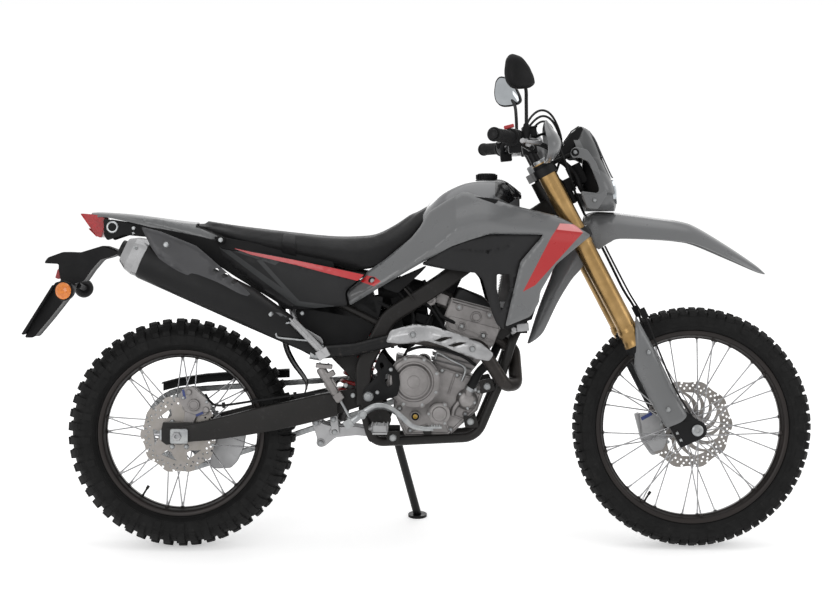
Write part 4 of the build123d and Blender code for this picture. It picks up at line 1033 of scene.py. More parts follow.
noseLip = [(916, 634), (986, 663), (1007, 700), (1003, 690), (990, 652), (955, 640), (918, 622)]
sidePair("shroudLip", sheetPart(noseLip, lambda x, z: -160, 14.0, (), 2, 8.0, 2.0, 2.0), "blackPp", "chassis")

innerPanel = {
    "outline": [(684, 805), (765, 857), (819, 878), (866, 888), (931, 893), (1010, 893), (1016, 884), (959, 816),
        (918, 640), (912, 623), (893, 638), (877, 677), (854, 762), (838, 781), (742, 793)],
    "hole": [(893, 778), (928, 778), (930, 735), (906, 677), (893, 735)],
    "spots": [(684, 805, -158), (765, 855, -160), (866, 850, -164), (940, 858, -170), (1010, 890, -178),
        (957, 812, -172), (916, 640, -160), (877, 690, -160), (838, 781, -156), (742, 793, -154)],
    "grooves": [((877, 690), (866, 782), 4, 2.0), ((866, 782), (700, 800), 5, 2.5),
        ((931, 859), (866, 842), 6, 5.0), ((866, 842), (775, 850), 6, 5.0)],
}
sidePair("innerPanel",
    sheetPart(innerPanel["outline"], fittedSurface(innerPanel["spots"]), 3.0, (innerPanel["hole"],), 7, 8.0, 5, 5,
    innerPanel["grooves"]), "charcoalPp", "chassis", ("inner_panels",))
print("shrouds and inner panels made")

tank = {
    # x, bottom z, bottom half width, widest z, widest half width, shoulder z, shoulder half width, top z
    "rows": [(688, 884, 60, 912, 92, 944, 66, 956), (712, 880, 84, 920, 116, 966, 84, 984),
        (745, 880, 100, 926, 132, 996, 92, 1012), (796, 886, 118, 935, 144, 1020, 94, 1037),
        (840, 900, 118, 950, 146, 1030, 90, 1046), (880, 915, 110, 955, 136, 1032, 80, 1047),
        (912, 925, 90, 962, 112, 1030, 66, 1043), (940, 940, 60, 968, 80, 1012, 50, 1026),
        (962, 950, 34, 972, 50, 998, 34, 1008)],
    "cap": {"x": 870, "z": 1041, "radius": 38, "height": 28},
}


def bodyRings(rows):
    # closed rings across the bike from rows of (x, low z, low half width, wide z, wide half width,
    # shoulder z, shoulder half width, top z)
    rings = []
    for x, lowZ, lowY, wideZ, wideY, upZ, upY, topZ in smoothRows(rows, 4):
        spots = [(0, lowZ - 2), (lowY * 0.6, lowZ - 1), (lowY, lowZ), (wideY, wideZ), (upY, upZ),
            (upY * 0.5, (upZ + topZ * 2) / 3), (0, topZ)]
        half = smoothRows([list(s) for s in spots], 4)
        rings.append([Vector((x, -y, z)) for y, z in half] + [Vector((x, y, z)) for y, z in half[-2:0:-1]])
    return rings


meshPiece("fuelTank", loftPart(bodyRings(tank["rows"])), "greyPaint", "chassis", ("fuel_tank",))
cap = tank["cap"]
capRows = [(0, cap["radius"] + 9), (3, cap["radius"] + 9), (4.5, cap["radius"] + 7), (5, cap["radius"] + 2),
    (9, cap["radius"] + 1), (10, cap["radius"] - 8), (cap["height"] - 4, cap["radius"] - 10),
    (cap["height"], cap["radius"] - 13), (cap["height"] + 1, 18), (cap["height"] - 2, 16), (cap["height"] - 2, 0)]
meshPiece("fuelCap",
    turnedPart((cap["x"], 0, cap["z"] - 6), (0, 0, 1), [(-6, 0), (-6, cap["radius"] + 9)] + capRows, 60), "blackPp",
    "chassis")
capRib = boxPart((cap["radius"] - 9, 0, 13), (4, 3.4, 13))
aroundCap = [movedPart(([Matrix.Rotation(2 * pi * n / 22, 3, "Z") @ Vector(p) for p in capRib[0]], capRib[1]),
    (cap["x"], 0, cap["z"])) for n in range(22)]
meshPiece("fuelCapRibs", aroundCap, "blackPp", "chassis", bevel=0.8)

tankFront = [(884, 1044, 40), (905, 1046, 44), (925, 1040, 44), (948, 1024, 40), (967, 1008, 30)]
frontRings = []
for x, z, wide in smoothRows([list(r) for r in tankFront], 4):
    drop = tableAt([(884, 40), (925, 46), (950, 28), (967, 12)], x)[0]
    half = [(0, z + 1.5), (wide * 0.6, z + 0.5), (wide, z - 5), (wide + 14, z - drop * 0.6), (wide + 20, z - drop)]
    rows = smoothRows([list(h) for h in half], 3)
    low = [(y * 0.92, h - 6) for y, h in rows]
    ring = ([Vector((x, -y, h)) for y, h in reversed(rows)] + [Vector((x, y, h)) for y, h in rows[1:]]
        + [Vector((x, y, h)) for y, h in reversed(low)] + [Vector((x, -y, h)) for y, h in low[1:]])
    frontRings.append(ring)
meshPiece("tankFrontCover", loftPart(frontRings), "blackGloss", "chassis")
print("tank made")

seat = {
    "rows": [(46, 914, 40, 918, 50, 922, 38, 926), (75, 906, 62, 911, 70, 917, 54, 922),
        (125, 884, 76, 898, 86, 909, 62, 914), (190, 860, 92, 880, 105, 898, 76, 905),
        (300, 838, 104, 862, 117, 884, 84, 892), (420, 814, 110, 845, 123, 870, 88, 880),
        (500, 796, 106, 838, 118, 868, 84, 879), (560, 802, 98, 848, 106, 876, 78, 887),
        (620, 845, 88, 880, 96, 908, 70, 918), (665, 880, 76, 915, 86, 946, 62, 954),
        (700, 918, 58, 942, 70, 966, 50, 978)],
    "pressure": 4.0, "cap": 6.0, "voxel": 6.0, "frames": 20,
}


def seatMesh(settings):
    points, faces = loftPart(bodyRings(settings["rows"]))
    mesh = bpy.data.meshes.new("seatPad")
    mesh.from_pydata([bikeToRow @ Vector(p) for p in points], [], [list(f) for f in faces])
    work = bmesh.new()
    work.from_mesh(mesh)
    bmesh.ops.recalc_face_normals(work, faces=work.faces)
    work.to_mesh(mesh)
    work.free()
    pad = bpy.data.objects.new("seatPad", mesh)
    bpy.context.scene.collection.objects.link(pad)
    remesh = pad.modifiers.new("skin", "REMESH")
    remesh.mode, remesh.voxel_size = "VOXEL", settings["voxel"] / 1000
    bake = bpy.data.meshes.new_from_object(pad.evaluated_get(bpy.context.evaluated_depsgraph_get()))
    pad.modifiers.clear()
    pad.data = bake
    before = [v.co.copy() for v in bake.vertices]
    cloth = pad.modifiers.new("foam", "CLOTH")
    cloth.settings.use_pressure = True
    cloth.settings.uniform_pressure_force = settings["pressure"]
    cloth.settings.effector_weights.gravity = 0
    for frameNow in range(1, settings["frames"] + 1):
        bpy.context.scene.frame_set(frameNow)
    puffed = bpy.data.meshes.new_from_object(pad.evaluated_get(bpy.context.evaluated_depsgraph_get()))
    pad.modifiers.clear()
    pad.data = puffed
    for vertex, rest in zip(puffed.vertices, before):
        move = vertex.co - rest
        if move.length > settings["cap"] / 1000:
            vertex.co = rest + move.normalized() * settings["cap"] / 1000
    bpy.context.scene.frame_set(1)
    return pad


seatPad = seatMesh(seat)
for face in seatPad.data.polygons:
    face.use_smooth = True
seatPad.data.materials.clear()
seatPad.data.materials.append(finishes["seatVinyl"])
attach(seatPad, "chassis")
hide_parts("seat")
strapRings = []
for lift, x in ((0.0, 293), (2.5, 296), (2.5, 328), (0.0, 331)):
    lowZ, lowY, wideZ, wideY, upZ, upY, topZ = tableAt(seat["rows"], x)
    half = smoothRows([[lowY, lowZ], [wideY + 2, wideZ], [upY + 1, upZ + 1], [upY * 0.5, (upZ + topZ * 2) / 3 + 2],
        [0, topZ + 2.5]], 5)
    ring = [Vector((x, -(y + lift), h + lift)) for y, h in half] + [Vector((x, y + lift, h + lift)) for y,
        h in half[-2::-1]]
    low = [Vector((x, -(y - 4), h - 4)) for y, h in half] + [Vector((x, y - 4, h - 4)) for y, h in half[-2::-1]]
    strapRings.append(ring + low[::-1])
meshPiece("seatStrap", loftPart(strapRings), "seatVinyl", "chassis")
print("seat made")

sideCover = {
    "outline": [(54, 878), (96, 880), (112, 872), (130, 858), (188, 845), (206, 843), (294, 826), (400, 803),
        (523, 777), (503, 759), (474, 735), (470, 722), (476, 690), (341, 679), (302, 679), (180, 775), (120, 820)],
    "spots": [(54, 872, -86), (130, 850, -96), (206, 843, -108), (330, 815, -122), (460, 785, -128),
        (565, 760, -122), (480, 690, -124), (479, 734, -130), (341, 679, -116), (302, 679, -112), (180, 775, -100),
        (300, 760, -122)],
    "grooves": [((200, 826), (470, 768), 6, 3.5), ((470, 768), (560, 752), 6, 3.5),
        ((250, 735), (330, 690), 5, 2.5)],
    "stripe": [(150, 852), (206, 840), (330, 817), (432, 796), (523, 776), (505, 759), (432, 777), (330, 804),
        (206, 832)],
}
coverFace = fittedSurface(sideCover["spots"])
sidePair("sideCover", sheetPart(sideCover["outline"], coverFace, 3.0, (), 8, 8.0, 6, 5, sideCover["grooves"]),
    "charcoalPp", "chassis", ("side_covers",))
sidePair("coverStripe",
    sheetPart(sideCover["stripe"], lambda x, z: coverFace(x, z) - 1.2, 2.4, (), 3, 8.0, 1.0, 0.8), "redVinyl",
    "chassis")

tail = {
    "rows": [(-256, 30, 936, 952), (-235, 44, 938, 953), (-209, 56, 938, 952), (-150, 70, 926, 948),
        (-97, 80, 914, 942), (0, 88, 888, 929), (46, 90, 874, 924)],
}
meshPiece("tailCowl", archPart(tail["rows"], 3.5, 32, 2.6), "greyAbs", "chassis", ("tail_cowl",))
sidePair("tailSide", sheetPart([(-212, 940), (-97, 918), (46, 878), (93, 864), (112, 884), (60, 906), (-60, 932)],
    fittedSurface([(-212, 940, -58), (-97, 918, -82), (46, 878, -92), (93, 864, -92), (112, 884, -90),
    (-60, 932, -78)]), 3.0, (), 8, 9.0, 5, 4), "greyAbs", "chassis")
print("tail made")

fender = {
    # x, half width, edge z, crown z
    "rows": [(1147, 50, 892, 940), (1158, 55, 880, 947), (1168, 57, 878, 950), (1183, 59, 848, 952),
        (1200, 61, 857, 952), (1217, 63, 867, 951), (1246, 65, 877, 949), (1345, 67, 875, 936),
        (1421, 66, 869, 925), (1470, 62, 858, 908), (1561, 48, 819, 853), (1636, 26, 785, 802),
        (1664, 12, 775, 778)],
    # z, half width, edge x, crown x
    "flap": [(578, 10, 992, 986), (592, 20, 1012, 990), (610, 28, 1029, 996), (636, 36, 1042, 1004),
        (700, 46, 1072, 1026), (760, 54, 1108, 1050), (800, 58, 1140, 1064), (850, 60, 1150, 1090)],
    "step": (0.5, 0.66, 3.5, 1225, 1475),
}
meshPiece("frontFender", archPart(fender["rows"], 3.5, 44, 2.3, steps=6, ridge=2.0, step=fender["step"]), "greyAbs",
    "steering", ("front_fender",))
meshPiece("fenderFlap", archPart(fender["flap"], 3.5, 28, 2.6, upright), "greyAbs", "steering")
print("front fender made")


def bossPart(x, z, y, radius, height, dish=0.0, side=-1):
    # a round boss standing out sideways from y, its rim chamfered, with an optional dished face
    edge = min(1.5, height * 0.3)
    rows = [(-2, 0), (-2, radius), (height - edge, radius), (height, radius - edge)]
    if dish:
        rows += [(height, radius * 0.72), (height - dish, radius * 0.66), (height - dish, 0)]
    else:
        rows.append((height, 0))
    return turnedPart((x, y, z), (0, side, 0), rows, 32)


def onSide(side, spots, y, size):
    # screws on one side of the bike: (x, z) places at y, flange radius size
    return [((x, y, z), (0, side, 0), size) for x, z in spots]


def onBoth(spots, y, size):
    return onSide(-1, spots, -y, size) + onSide(1, spots, y, size)


engineLooks = {
    "clutch": (662, 476), "filter": (734, 385), "pump": (811, 424), "generator": (738, 425),
    "crankcase": [(616, 545), (610, 396), (640, 327), (758, 325), (836, 396), (853, 442), (842, 479), (799, 494),
        (735, 514)],
}
cx, cz = engineLooks["clutch"]
clutchRows = [(-3, 0), (-3, 71), (2, 71), (4, 69), (5, 64), (5, 57), (2.5, 55), (2.5, 51), (7, 48), (10, 45),
    (10, 41), (8.6, 40), (8.6, 18), (9.6, 17), (9.6, 0)]
coverParts = [turnedPart((cx, -112, cz), (0, -1, 0), clutchRows, 72)]
lobes = [(cx + 68 * cos(radians(20 + 45 * n)), cz + 68 * sin(radians(20 + 45 * n))) for n in range(8)]
coverParts += [bossPart(x, z, -104, 8.5, 12) for x, z in lobes]
fx, fz = engineLooks["filter"]
coverParts.append(turnedPart((fx, -98, fz), (0, -1, 0),
    [(-3, 0), (-3, 30), (4, 30), (6, 28), (7, 21), (12, 19), (13.5, 14), (13.5, 0)], 48))
filterBolts = [(fx + 29 * cos(radians(a)), fz + 29 * sin(radians(a))) for a in (60, 180, 300)]
coverParts += [bossPart(x, z, -88, 8, 14) for x, z in filterBolts]
px, pz = engineLooks["pump"]
coverParts += [turnedPart((px, -68, pz), (0, -1, 0),
    [(0, 0), (0, 30), (8, 30), (12, 26), (20, 24), (24, 19), (26, 10), (26, 0)], 40),
    tubePart([(px + 4, -84, pz + 12), (px + 6, -86, pz + 30)], 12.5, 16),
    tubePart([(px - 20, -78, pz - 6), (px - 36, -76, pz - 26), (px - 40, -74, pz - 44)], 8, 12)]
caseBosses = [(807, 382), (766, 339), (784, 492), (700, 334), (652, 336), (622, 398), (845, 446), (742, 505)]
coverParts += [bossPart(x, z, -68, 8, 7, 2.0) for x, z in caseBosses]
coverParts += [bossPart(623, 527, -68, 14, 18, 3.0), bossPart(690, 532, -68, 21, 10),
    bossPart(666, 377, -72, 15, 22)]
caseShape = engineLooks["crankcase"]
rim = list(zip(caseShape, caseShape[1:] + caseShape[:1]))
coverParts += [tubePart([(a[0], -70, a[1]), (b[0], -70, b[1])], 4.5, 8) for a, b in rim]
ribs = [((616, 460), (590, 470)), ((640, 330), (700, 352)), ((700, 327), (728, 356)), ((760, 335), (752, 362)),
    ((800, 368), (764, 382)), ((735, 512), (716, 532)), ((780, 500), (760, 440)), ((830, 396), (800, 410))]
coverParts += [tubePart([(a[0], -71, a[1]), (b[0], -74, b[1])], 3.0, 8) for a, b in ribs]
meshPiece("engineCoversRight", coverParts, "castAlloy", "chassis")
screwSet("engineScrewsRight", "chassis", onSide(-1, lobes, -115.5, 5.2) + onSide(-1, filterBolts, -101.5, 5.0)
    + onSide(-1, caseBosses, -73, 5.2)
    + onSide(-1, [(px - 19, pz + 16), (px + 22, pz - 8), (px + 2, pz - 24)], -90, 4.6))

gx, gz = engineLooks["generator"]
leftCovers = [turnedPart((gx, 98, gz), (0, 1, 0),
    [(-3, 0), (-3, 66), (4, 66), (8, 62), (11, 52), (12, 46), (10, 44), (10, 30), (13, 28), (13, 0)], 64)]
leftLobes = [(gx + 64 * cos(radians(15 + 40 * n)), gz + 64 * sin(radians(15 + 40 * n))) for n in range(9)]
leftCovers += [bossPart(x, z, 84, 8, 14, side=1) for x, z in leftLobes]
leftCovers += [tubePart([(a[0], 60, a[1]), (b[0], 60, b[1])], 4.5, 8) for a, b in rim]
leftCovers += [bossPart(607, 445, 81, 20, 5, side=1), bossPart(650, 380, 58, 20, 16, 3.0, 1)]
meshPiece("engineCoversLeft", leftCovers, "castAlloy", "chassis")
screwSet("engineScrewsLeft", "chassis", onSide(1, leftLobes, 98.5, 5.2) + onSide(1, [(607, 445)], 86, 11)
    + onSide(1, [(650, 350), (690, 338), (640, 420)], 61, 5.2))

# cylinder: cooling ribs round the barrel, square to its own line
barrel = {"foot": (768, 522), "up": (0.34, 0.94), "ribs": 7, "pitch": 15.0, "half": 60, "wide": 63, "thick": 2.4}
upX, upZ = barrel["up"]
half, thick = barrel["half"], barrel["thick"]
barrelRibs = []
for n in range(barrel["ribs"]):
    t = n * barrel["pitch"]
    mx, mz = barrel["foot"][0] + upX * t * 0.62, barrel["foot"][1] + upZ * t
    rear, fore = (mx - half * upZ, mz + half * upX * 0.7), (mx + half * upZ, mz - half * upX * 0.7)
    ring = [(rear[0], rear[1] - thick), (fore[0], fore[1] - thick), (fore[0], fore[1] + thick),
        (rear[0], rear[1] + thick)]
    barrelRibs.append(platePart(ring, -barrel["wide"], barrel["wide"], 1.0))
meshPiece("barrelRibs", barrelRibs, "darkCast", "chassis")

headParts = [platePart([(752, 660), (769, 708), (890, 676), (902, 626), (884, 584), (796, 610), (762, 624)], -74,
    74, 6), platePart([(757, 645), (763, 660), (904, 622), (888, 588)], -78, 78, 4)]
headParts += [bossPart(797, 630, -74, 13, 8, 3.0), bossPart(858, 604, -74, 12, 7, 3.0),
    bossPart(838, 656, -74, 16, 5, 3.5), bossPart(790, 684, -74, 10, 7), bossPart(876, 662, -74, 10, 7),
    bossPart(797, 630, 74, 13, 8, 3.0, 1), bossPart(846, 650, 74, 22, 9, 3.0, 1)]
headParts += [tubePart([(772, -76, 702), (884, -76, 672)], 5, 8), tubePart([(772, 76, 702), (884, 76, 672)], 5, 8)]
meshPiece("cylinderHead", headParts, "castAlloy", "chassis", bevel=1.5)
screwSet("headScrews", "chassis", onSide(-1, [(790, 684), (876, 662), (797, 630), (858, 604)], -80.5, 6.0)
    + onSide(1, [(790, 684), (876, 662), (797, 630)], 80.5, 6.0))
valveRings = []
for y, grow in ((-66, -9), (-62, -2), (-40, 0), (40, 0), (62, -2), (66, -9)):
    valveRings.append([(x, y, z) for x,
        z in roundCorners([(772 - grow * 0.5, 704), (788 - grow, 742 + grow * 0.7), (862 + grow, 712 + grow * 0.7),
        (891 + grow * 0.5, 674)], 9)])
meshPiece("camCover", loftPart(valveRings), "blackPowder", "chassis", ("valve_cover",))
screwSet("camCoverScrews", "chassis", [((803, y, 728), (0.28, 0, 0.96), 5) for y in (-34, 34)]
    + [((849, y, 712), (0.28, 0, 0.96), 5) for y in (-34, 34)])

# intake: throttle body and the boot back to the airbox
intake = [turnedPart((782, 0, 690), (-0.94, 0, 0.34),
    [(0, 0), (0, 24), (14, 24), (16, 28), (52, 28), (54, 24), (60, 24), (60, 0)], 36),
    boxPart((742, -34, 706), (34, 26, 30), -0.35)]
meshPiece("throttleBody", intake, "castAlloy", "chassis", bevel=1.0)
meshPiece("intakeBoot",
    tubePart([(732, 0, 708), (690, 0, 722), (640, 0, 730), (560, 0, 726)], [(0, 29), (0.2, 31), (0.5, 36), (1, 44)],
    24), "gripRubber", "chassis")
meshPiece("relayCan",
    turnedPart((708, -58, 705), (0, -1, 0), [(0, 0), (0, 18), (20, 18), (23, 16), (23, 9), (20, 8), (20, 0)], 32),
    "castAlloy", "chassis")
electricBox = platePart([(571, 745), (698, 800), (684, 784), (650, 752), (617, 724), (580, 736)], -104, -60, 5)
sidePair("airboxSide", electricBox, "blackPp", "chassis", bevel=1.5)

# black parts of the right side: filler plug and sight glass
plug = [turnedPart((690, -78, 532), (0, -1, 0), [(0, 0), (0, 17), (4, 17), (5, 16), (12, 15), (13, 12), (13, 0)],
    28), boxPart((690, -92, 532), (22, 8, 5), 0.4)]
meshPiece("fillerPlug", plug, "blackPp", "chassis")
meshPiece("sightRing", turnedPart((666, -94, 377), (0, -1, 0), [(0, 6), (0, 11), (3, 11), (4, 10), (4, 7), (0, 6)],
    28), "blackPp", "chassis")
meshPiece("sightGlass", turnedPart((666, -93, 377), (0, -1, 0), [(0, 0), (0, 8), (2.5, 7), (3, 0)], 24), "oilGlass",
    "chassis")

# plumbing: hoses with clamps, the thin pipe over the crankcase, the wiring by the pump
waterRoute = [(817, -86, 452), (828, -90, 470), (845, -84, 500), (869, -66, 523), (890, -34, 552), (905, 10, 585),
    (915, 60, 620), (912, 90, 668)]
meshPiece("waterHose", tubePart(waterRoute, 12.5, 16), "gripRubber", "chassis")
meshPiece("upperWaterHose", tubePart([(868, 40, 650), (905, 60, 690), (938, 78, 740), (946, 86, 800)], 12, 16),
    "gripRubber", "chassis")
clampRows = [(-5, 13), (-5, 14.6), (5, 14.6), (5, 13)]
clips = [turnedPart(spot, way, clampRows + clampRows[:1], 28) for spot,
    way in (((820, -87, 456), (0.5, -0.2, 0.85)), ((908, 40, 606), (0.2, 0.7, 0.6)),
    ((880, 46, 662), (0.7, 0.3, 0.7)))]
clips += [boxPart((834, -88, 452), (9, 9, 8))]
meshPiece("hoseClips", clips, "zincPlate", "chassis")
meshPiece("oilPipe",
    tubePart([(722, -80, 540), (730, -86, 555), (766, -86, 536), (802, -84, 518), (806, -82, 500), (797, -78, 476)],
    3.6, 12), "zincPlate", "chassis")
meshPiece("loom", [
    tubePart([(640, -84, 560), (680, -88, 572), (740, -84, 566), (800, -80, 545), (836, -70, 520)], 4.5, 10),
    tubePart([(718, -60, 690), (700, -80, 640), (672, -84, 600), (640, -80, 556), (618, -70, 500)], 4.0, 10),
    tubePart([(778, -74, 640), (740, -84, 660), (716, -70, 700), (690, -60, 760)], 5.0,
        10)], "gripRubber", "chassis")

# exhaust: header shield with its slots, and the clamp and flange of the pipe
headerShield = {
    "outline": [(585, 590), (597, 622), (662, 641), (718, 634), (790, 611), (848, 588), (884, 557), (872, 537),
        (835, 544), (787, 561), (744, 580), (698, 594), (662, 588), (620, 586)],
    "slots": [[(718, 595), (747, 606), (769, 604), (735, 591)], [(756, 580), (788, 591), (810, 589), (773, 577)]],
    "spots": [(585, 600, -180), (597, 622, -176), (662, 640, -178), (660, 612, -190), (718, 634, -178),
        (744, 598, -191), (848, 588, -174), (824, 572, -186), (884, 557, -172), (872, 537, -168), (787, 561, -178),
        (698, 594, -180), (662, 586, -180)],
}
shieldFace = fittedSurface(headerShield["spots"])
meshPiece("headerShield",
    sheetPart(headerShield["outline"], shieldFace, 1.8, headerShield["slots"], 7, 6.0, 5, 4,
    (((600, 606), (700, 620), 5, -2.0), ((700, 620), (850, 566), 5, -2.0))), "satinAlloy", "chassis",
    ("heat_shields",))
shieldBosses = [bossPart(x, z, shieldFace(x, z) + 1, r, 3.5, 1.6) for x, z, r in ((660, 612, 13), (824, 572, 12.5))]
shieldBosses += [bossPart(x, z, -150, 7, 30) for x, z in ((660, 612), (824, 572))]
meshPiece("shieldBosses", shieldBosses, "satinAlloy", "chassis")
screwSet("shieldScrews", "chassis", onSide(-1, [(660, 612), (824, 572)], -192, 7.5))
clampBand = turnedPart((392, -162, 564), (-0.98, -0.04, 0.18),
    [(-16, 20), (-16, 24), (16, 24), (16, 20), (-16, 20)], 36)
meshPiece("pipeClamp", clampBand, "zincPlate", "chassis")
meshPiece("headerFlange", turnedPart((884, -24, 601), (0.7, 0, -0.7), [(0, 0), (0, 32), (10, 32), (10, 0)], 36),
    "zincPlate", "chassis")
print("engine and header made")

silencer = {
    "y": -165, "along": Vector((-0.906, 0, 0.423)),
    # x, z, half depth, half width
    "rows": [(-84, 820, 54, 57), (-78, 817, 55, 58), (60, 756, 56, 59), (200, 690, 53, 55), (300, 632, 40, 44),
        (360, 592, 27, 28), (396, 567, 22, 22)],
    "cap": [(-84, 820, 52, 55), (-98, 827, 54, 57), (-118, 836, 48, 51), (-138, 846, 34, 38)],
}


def silencerRings(rows, corner):
    rings = []
    acrossLine = Vector((silencer["along"].z, 0, -silencer["along"].x))
    for x, z, deep, wide in rows:
        middle = Vector((x, silencer["y"], z))
        square = roundCorners([(-wide, -deep), (wide, -deep), (wide, deep), (-wide, deep)], deep * corner, 6)
        rings.append([middle + Vector((0, 1, 0)) * u + acrossLine * v for u, v in square])
    return rings


meshPiece("silencerBody", loftPart(silencerRings(silencer["rows"], 0.9)), "silencerEnamel", "chassis", ("muffler",))
meshPiece("silencerCap", loftPart(silencerRings(silencer["cap"], 0.75)), "satinAlloy", "chassis", smooth=False,
    bevel=2.0)
capFace = Vector((-138, -165, 846))
meshPiece("silencerOutlet",
    turnedPart(capFace - silencer["along"] * 6, silencer["along"],
    [(0, 0), (0, 25), (18, 24), (20, 22), (20, 18), (-10, 17), (-10, 0)], 40), "silencerEnamel", "chassis")
screwSet("capScrews", "chassis",
    [((-127, -206, 812), (-0.5, -0.86, 0.1), 7), ((-102, -222, 852), (-0.3, -0.95, 0), 5),
    ((-118, -150, 890), (-0.4, 0, 0.9), 5), ((-122, -124, 812), (-0.5, 0.86, 0), 6)])
guard = {
    "outline": [(-88, 910), (-33, 896), (22, 874), (64, 857), (96, 830), (184, 752), (240, 699), (316, 661),
        (282, 653), (184, 690), (119, 721), (41, 767), (-37, 822), (-56, 849), (-82, 896)],
    "slots": [[(108, 790), (122, 797), (128, 788), (114, 782)], [(132, 776), (148, 784), (154, 774), (138, 767)],
        [(158, 760), (173, 767), (179, 757), (164, 751)]],
    "spots": [(-88, 912, -212), (-60, 850, -226), (22, 874, -216), (41, 767, -224), (96, 830, -218),
        (119, 721, -220), (184, 752, -216), (184, 690, -220), (240, 699, -212), (316, 661, -206), (282, 653, -208)],
}
guardFace = fittedSurface(guard["spots"])
meshPiece("silencerGuard",
    sheetPart(guard["outline"], guardFace, 2.2, guard["slots"], 7, 7.0, 5, 4,
    (((-48, 850), (-30, 832), 4, 1.5), ((-30, 832), (45, 778), 4, 1.5), ((45, 778), (122, 731), 4, 1.5),
    ((122, 731), (184, 700), 4, 1.5))), "charcoalSteel", "chassis")
meshPiece("guardBosses",
    [bossPart(-18, 860, guardFace(-18, 860) + 1, 11, 3, 1.2),
    bossPart(268, 668, guardFace(268, 668) + 1, 9, 3, 1.2)], "charcoalSteel", "chassis")
screwSet("guardScrews", "chassis", onSide(-1, [(-18, 860)], guardFace(-18, 860) - 2, 8)
    + onSide(-1, [(268, 668)], guardFace(268, 668) - 2, 6.5))
print("silencer made")

# frame: plates, bolts and the pivot cover with its holes
pivotCover = {
    "outline": [(575, 561), (588, 540), (606, 520), (621, 499), (624, 470), (616, 438), (585, 428), (547, 421),
        (518, 442), (522, 456), (540, 474), (560, 492), (560, 508), (551, 518), (560, 540)],
    "holes": [[(584, 500), (600, 496), (602, 470), (590, 462), (582, 478)],
        [(566, 530), (574, 532), (580, 520), (570, 512)]],
}
sidePair("pivotCover", sheetPart(pivotCover["outline"], lambda x, z: -133.0, 4.0, pivotCover["holes"], 6, 8.0, 4,
    3), "blackPp", "chassis")
hangers = [platePart([(538, 470), (560, 452), (600, 372), (592, 350), (560, 345), (534, 380), (518, 430)], -126,
    -119, 5), platePart([(506, 404), (560, 412), (566, 386), (520, 380)], -128, -100, 4)]
sidePair("footrestPlate", hangers, "framePowder", "chassis")
engineMounts = [platePart([(846, 478), (880, 486), (892, 452), (850, 440)], -98, -92, 5),
    platePart([(800, 380), (838, 376), (846, 346), (806, 346)], -98, -92, 5),
    platePart([(586, 336), (622, 336), (622, 300), (586, 300)], -99, -92, 5),
    platePart([(936, 650), (968, 640), (912, 590), (890, 600)], -60, -54, 5)]
sidePair("engineMounts", engineMounts, "framePowder", "chassis")
frameBolts = [(868, 462), (821, 363), (603, 318)]
screwSet("frameBolts", "chassis", onBoth(frameBolts, 99, 11) + onBoth([(535, 437)], 136, 15)
    + onBoth([(598, 512), (560, 448)], 134, 6))
weld = tubePart([(636, -132, 738), (650, -133, 722), (662, -132, 706)], 3.0, 8)
sidePair("sparWeld", weld, "framePowder", "chassis")
print("frame details made")


def forkPart(origin, profile, steps=40):
    # a part turned about the fork's line, rows (up along it, radius), from a foot (ahead, y, height)
    return turnedPart(onFork(*origin), -forkDown, profile, steps)


# fork: seals, rings and caps on the tubes, screws in the clamps
forkY = bike["forkSpacing"]
forkRings, forkSilver, forkBlack = [], [], []
for y in (-forkY, forkY):
    foot = (bike["forkAhead"], y, 0)
    forkRings.append(forkPart(foot,
        [(640, 20), (640, 31.5), (652, 31.5), (656, 29.6), (676, 29.6), (678, 30.8), (690, 30.8), (692, 29.4),
        (700, 29.4), (700, 20), (640, 20)]))
    forkRings.append(forkPart(foot, [(960, 20), (960, 29.6), (966, 29.9), (970, 29.6), (970, 20), (960, 20)]))
    forkBlack.append(forkPart(foot,
        [(622, 20), (622, 30.5), (626, 33), (640, 33), (644, 31), (644, 20), (622, 20)]))
    forkBlack.append(forkPart(foot, [(1204, 22), (1204, 28), (1214, 28), (1217, 25), (1217, 22), (1204, 22)]))
    forkSilver.append(forkPart(foot,
        [(1214, 0), (1214, 21), (1226, 20), (1228, 17), (1228, 9), (1224, 8), (1224, 0)]))
meshPiece("forkRings", forkRings, "goldAnodise", "steering")
meshPiece("forkSeals", forkBlack, "blackPp", "steering")
meshPiece("forkCaps", forkSilver, "zincPlate", "steering")
pinch = []
for side in (-1, 1):
    for height, ahead in ((982, -24), (996, -24), (1186, -22), (1198, -22)):
        pinch.append((onFork(bike["forkAhead"] + ahead, side * (forkY - 26), height), -forkForward, 4))
    pinch.append((onFork(bike["forkAhead"] - 10, side * (forkY + 24), 350), -forkForward, 7))
    pinch.append((onFork(bike["forkAhead"] - 10, side * (forkY + 24), 372), -forkForward, 7))
screwSet("clampScrews", "steering", pinch)
meshPiece("stemNut", forkPart((0, 0, 0), [(1204, 0), (1204, 19), (1222, 19), (1225, 16), (1225, 0)], 6),
    "zincPlate", "steering")

# fork guards: a face that wraps the leg, with a rolled edge and two screws
guardShape = {
    "outline": [(1281, 665), (1337, 566), (1382, 472), (1428, 383), (1412, 366), (1368, 347), (1345, 384),
        (1325, 422), (1298, 475), (1279, 513), (1279, 545), (1281, 576)],
}


def guardSurface(x, z):
    # a round face about the fork's line
    offset = (Vector((x, 0, z)) - onFork(bike["forkAhead"] + 4, 0, 0)).dot(forkForward)
    return -forkY - 38 * sqrt(max(0.05, 1 - (offset / 52) ** 2)) + 3


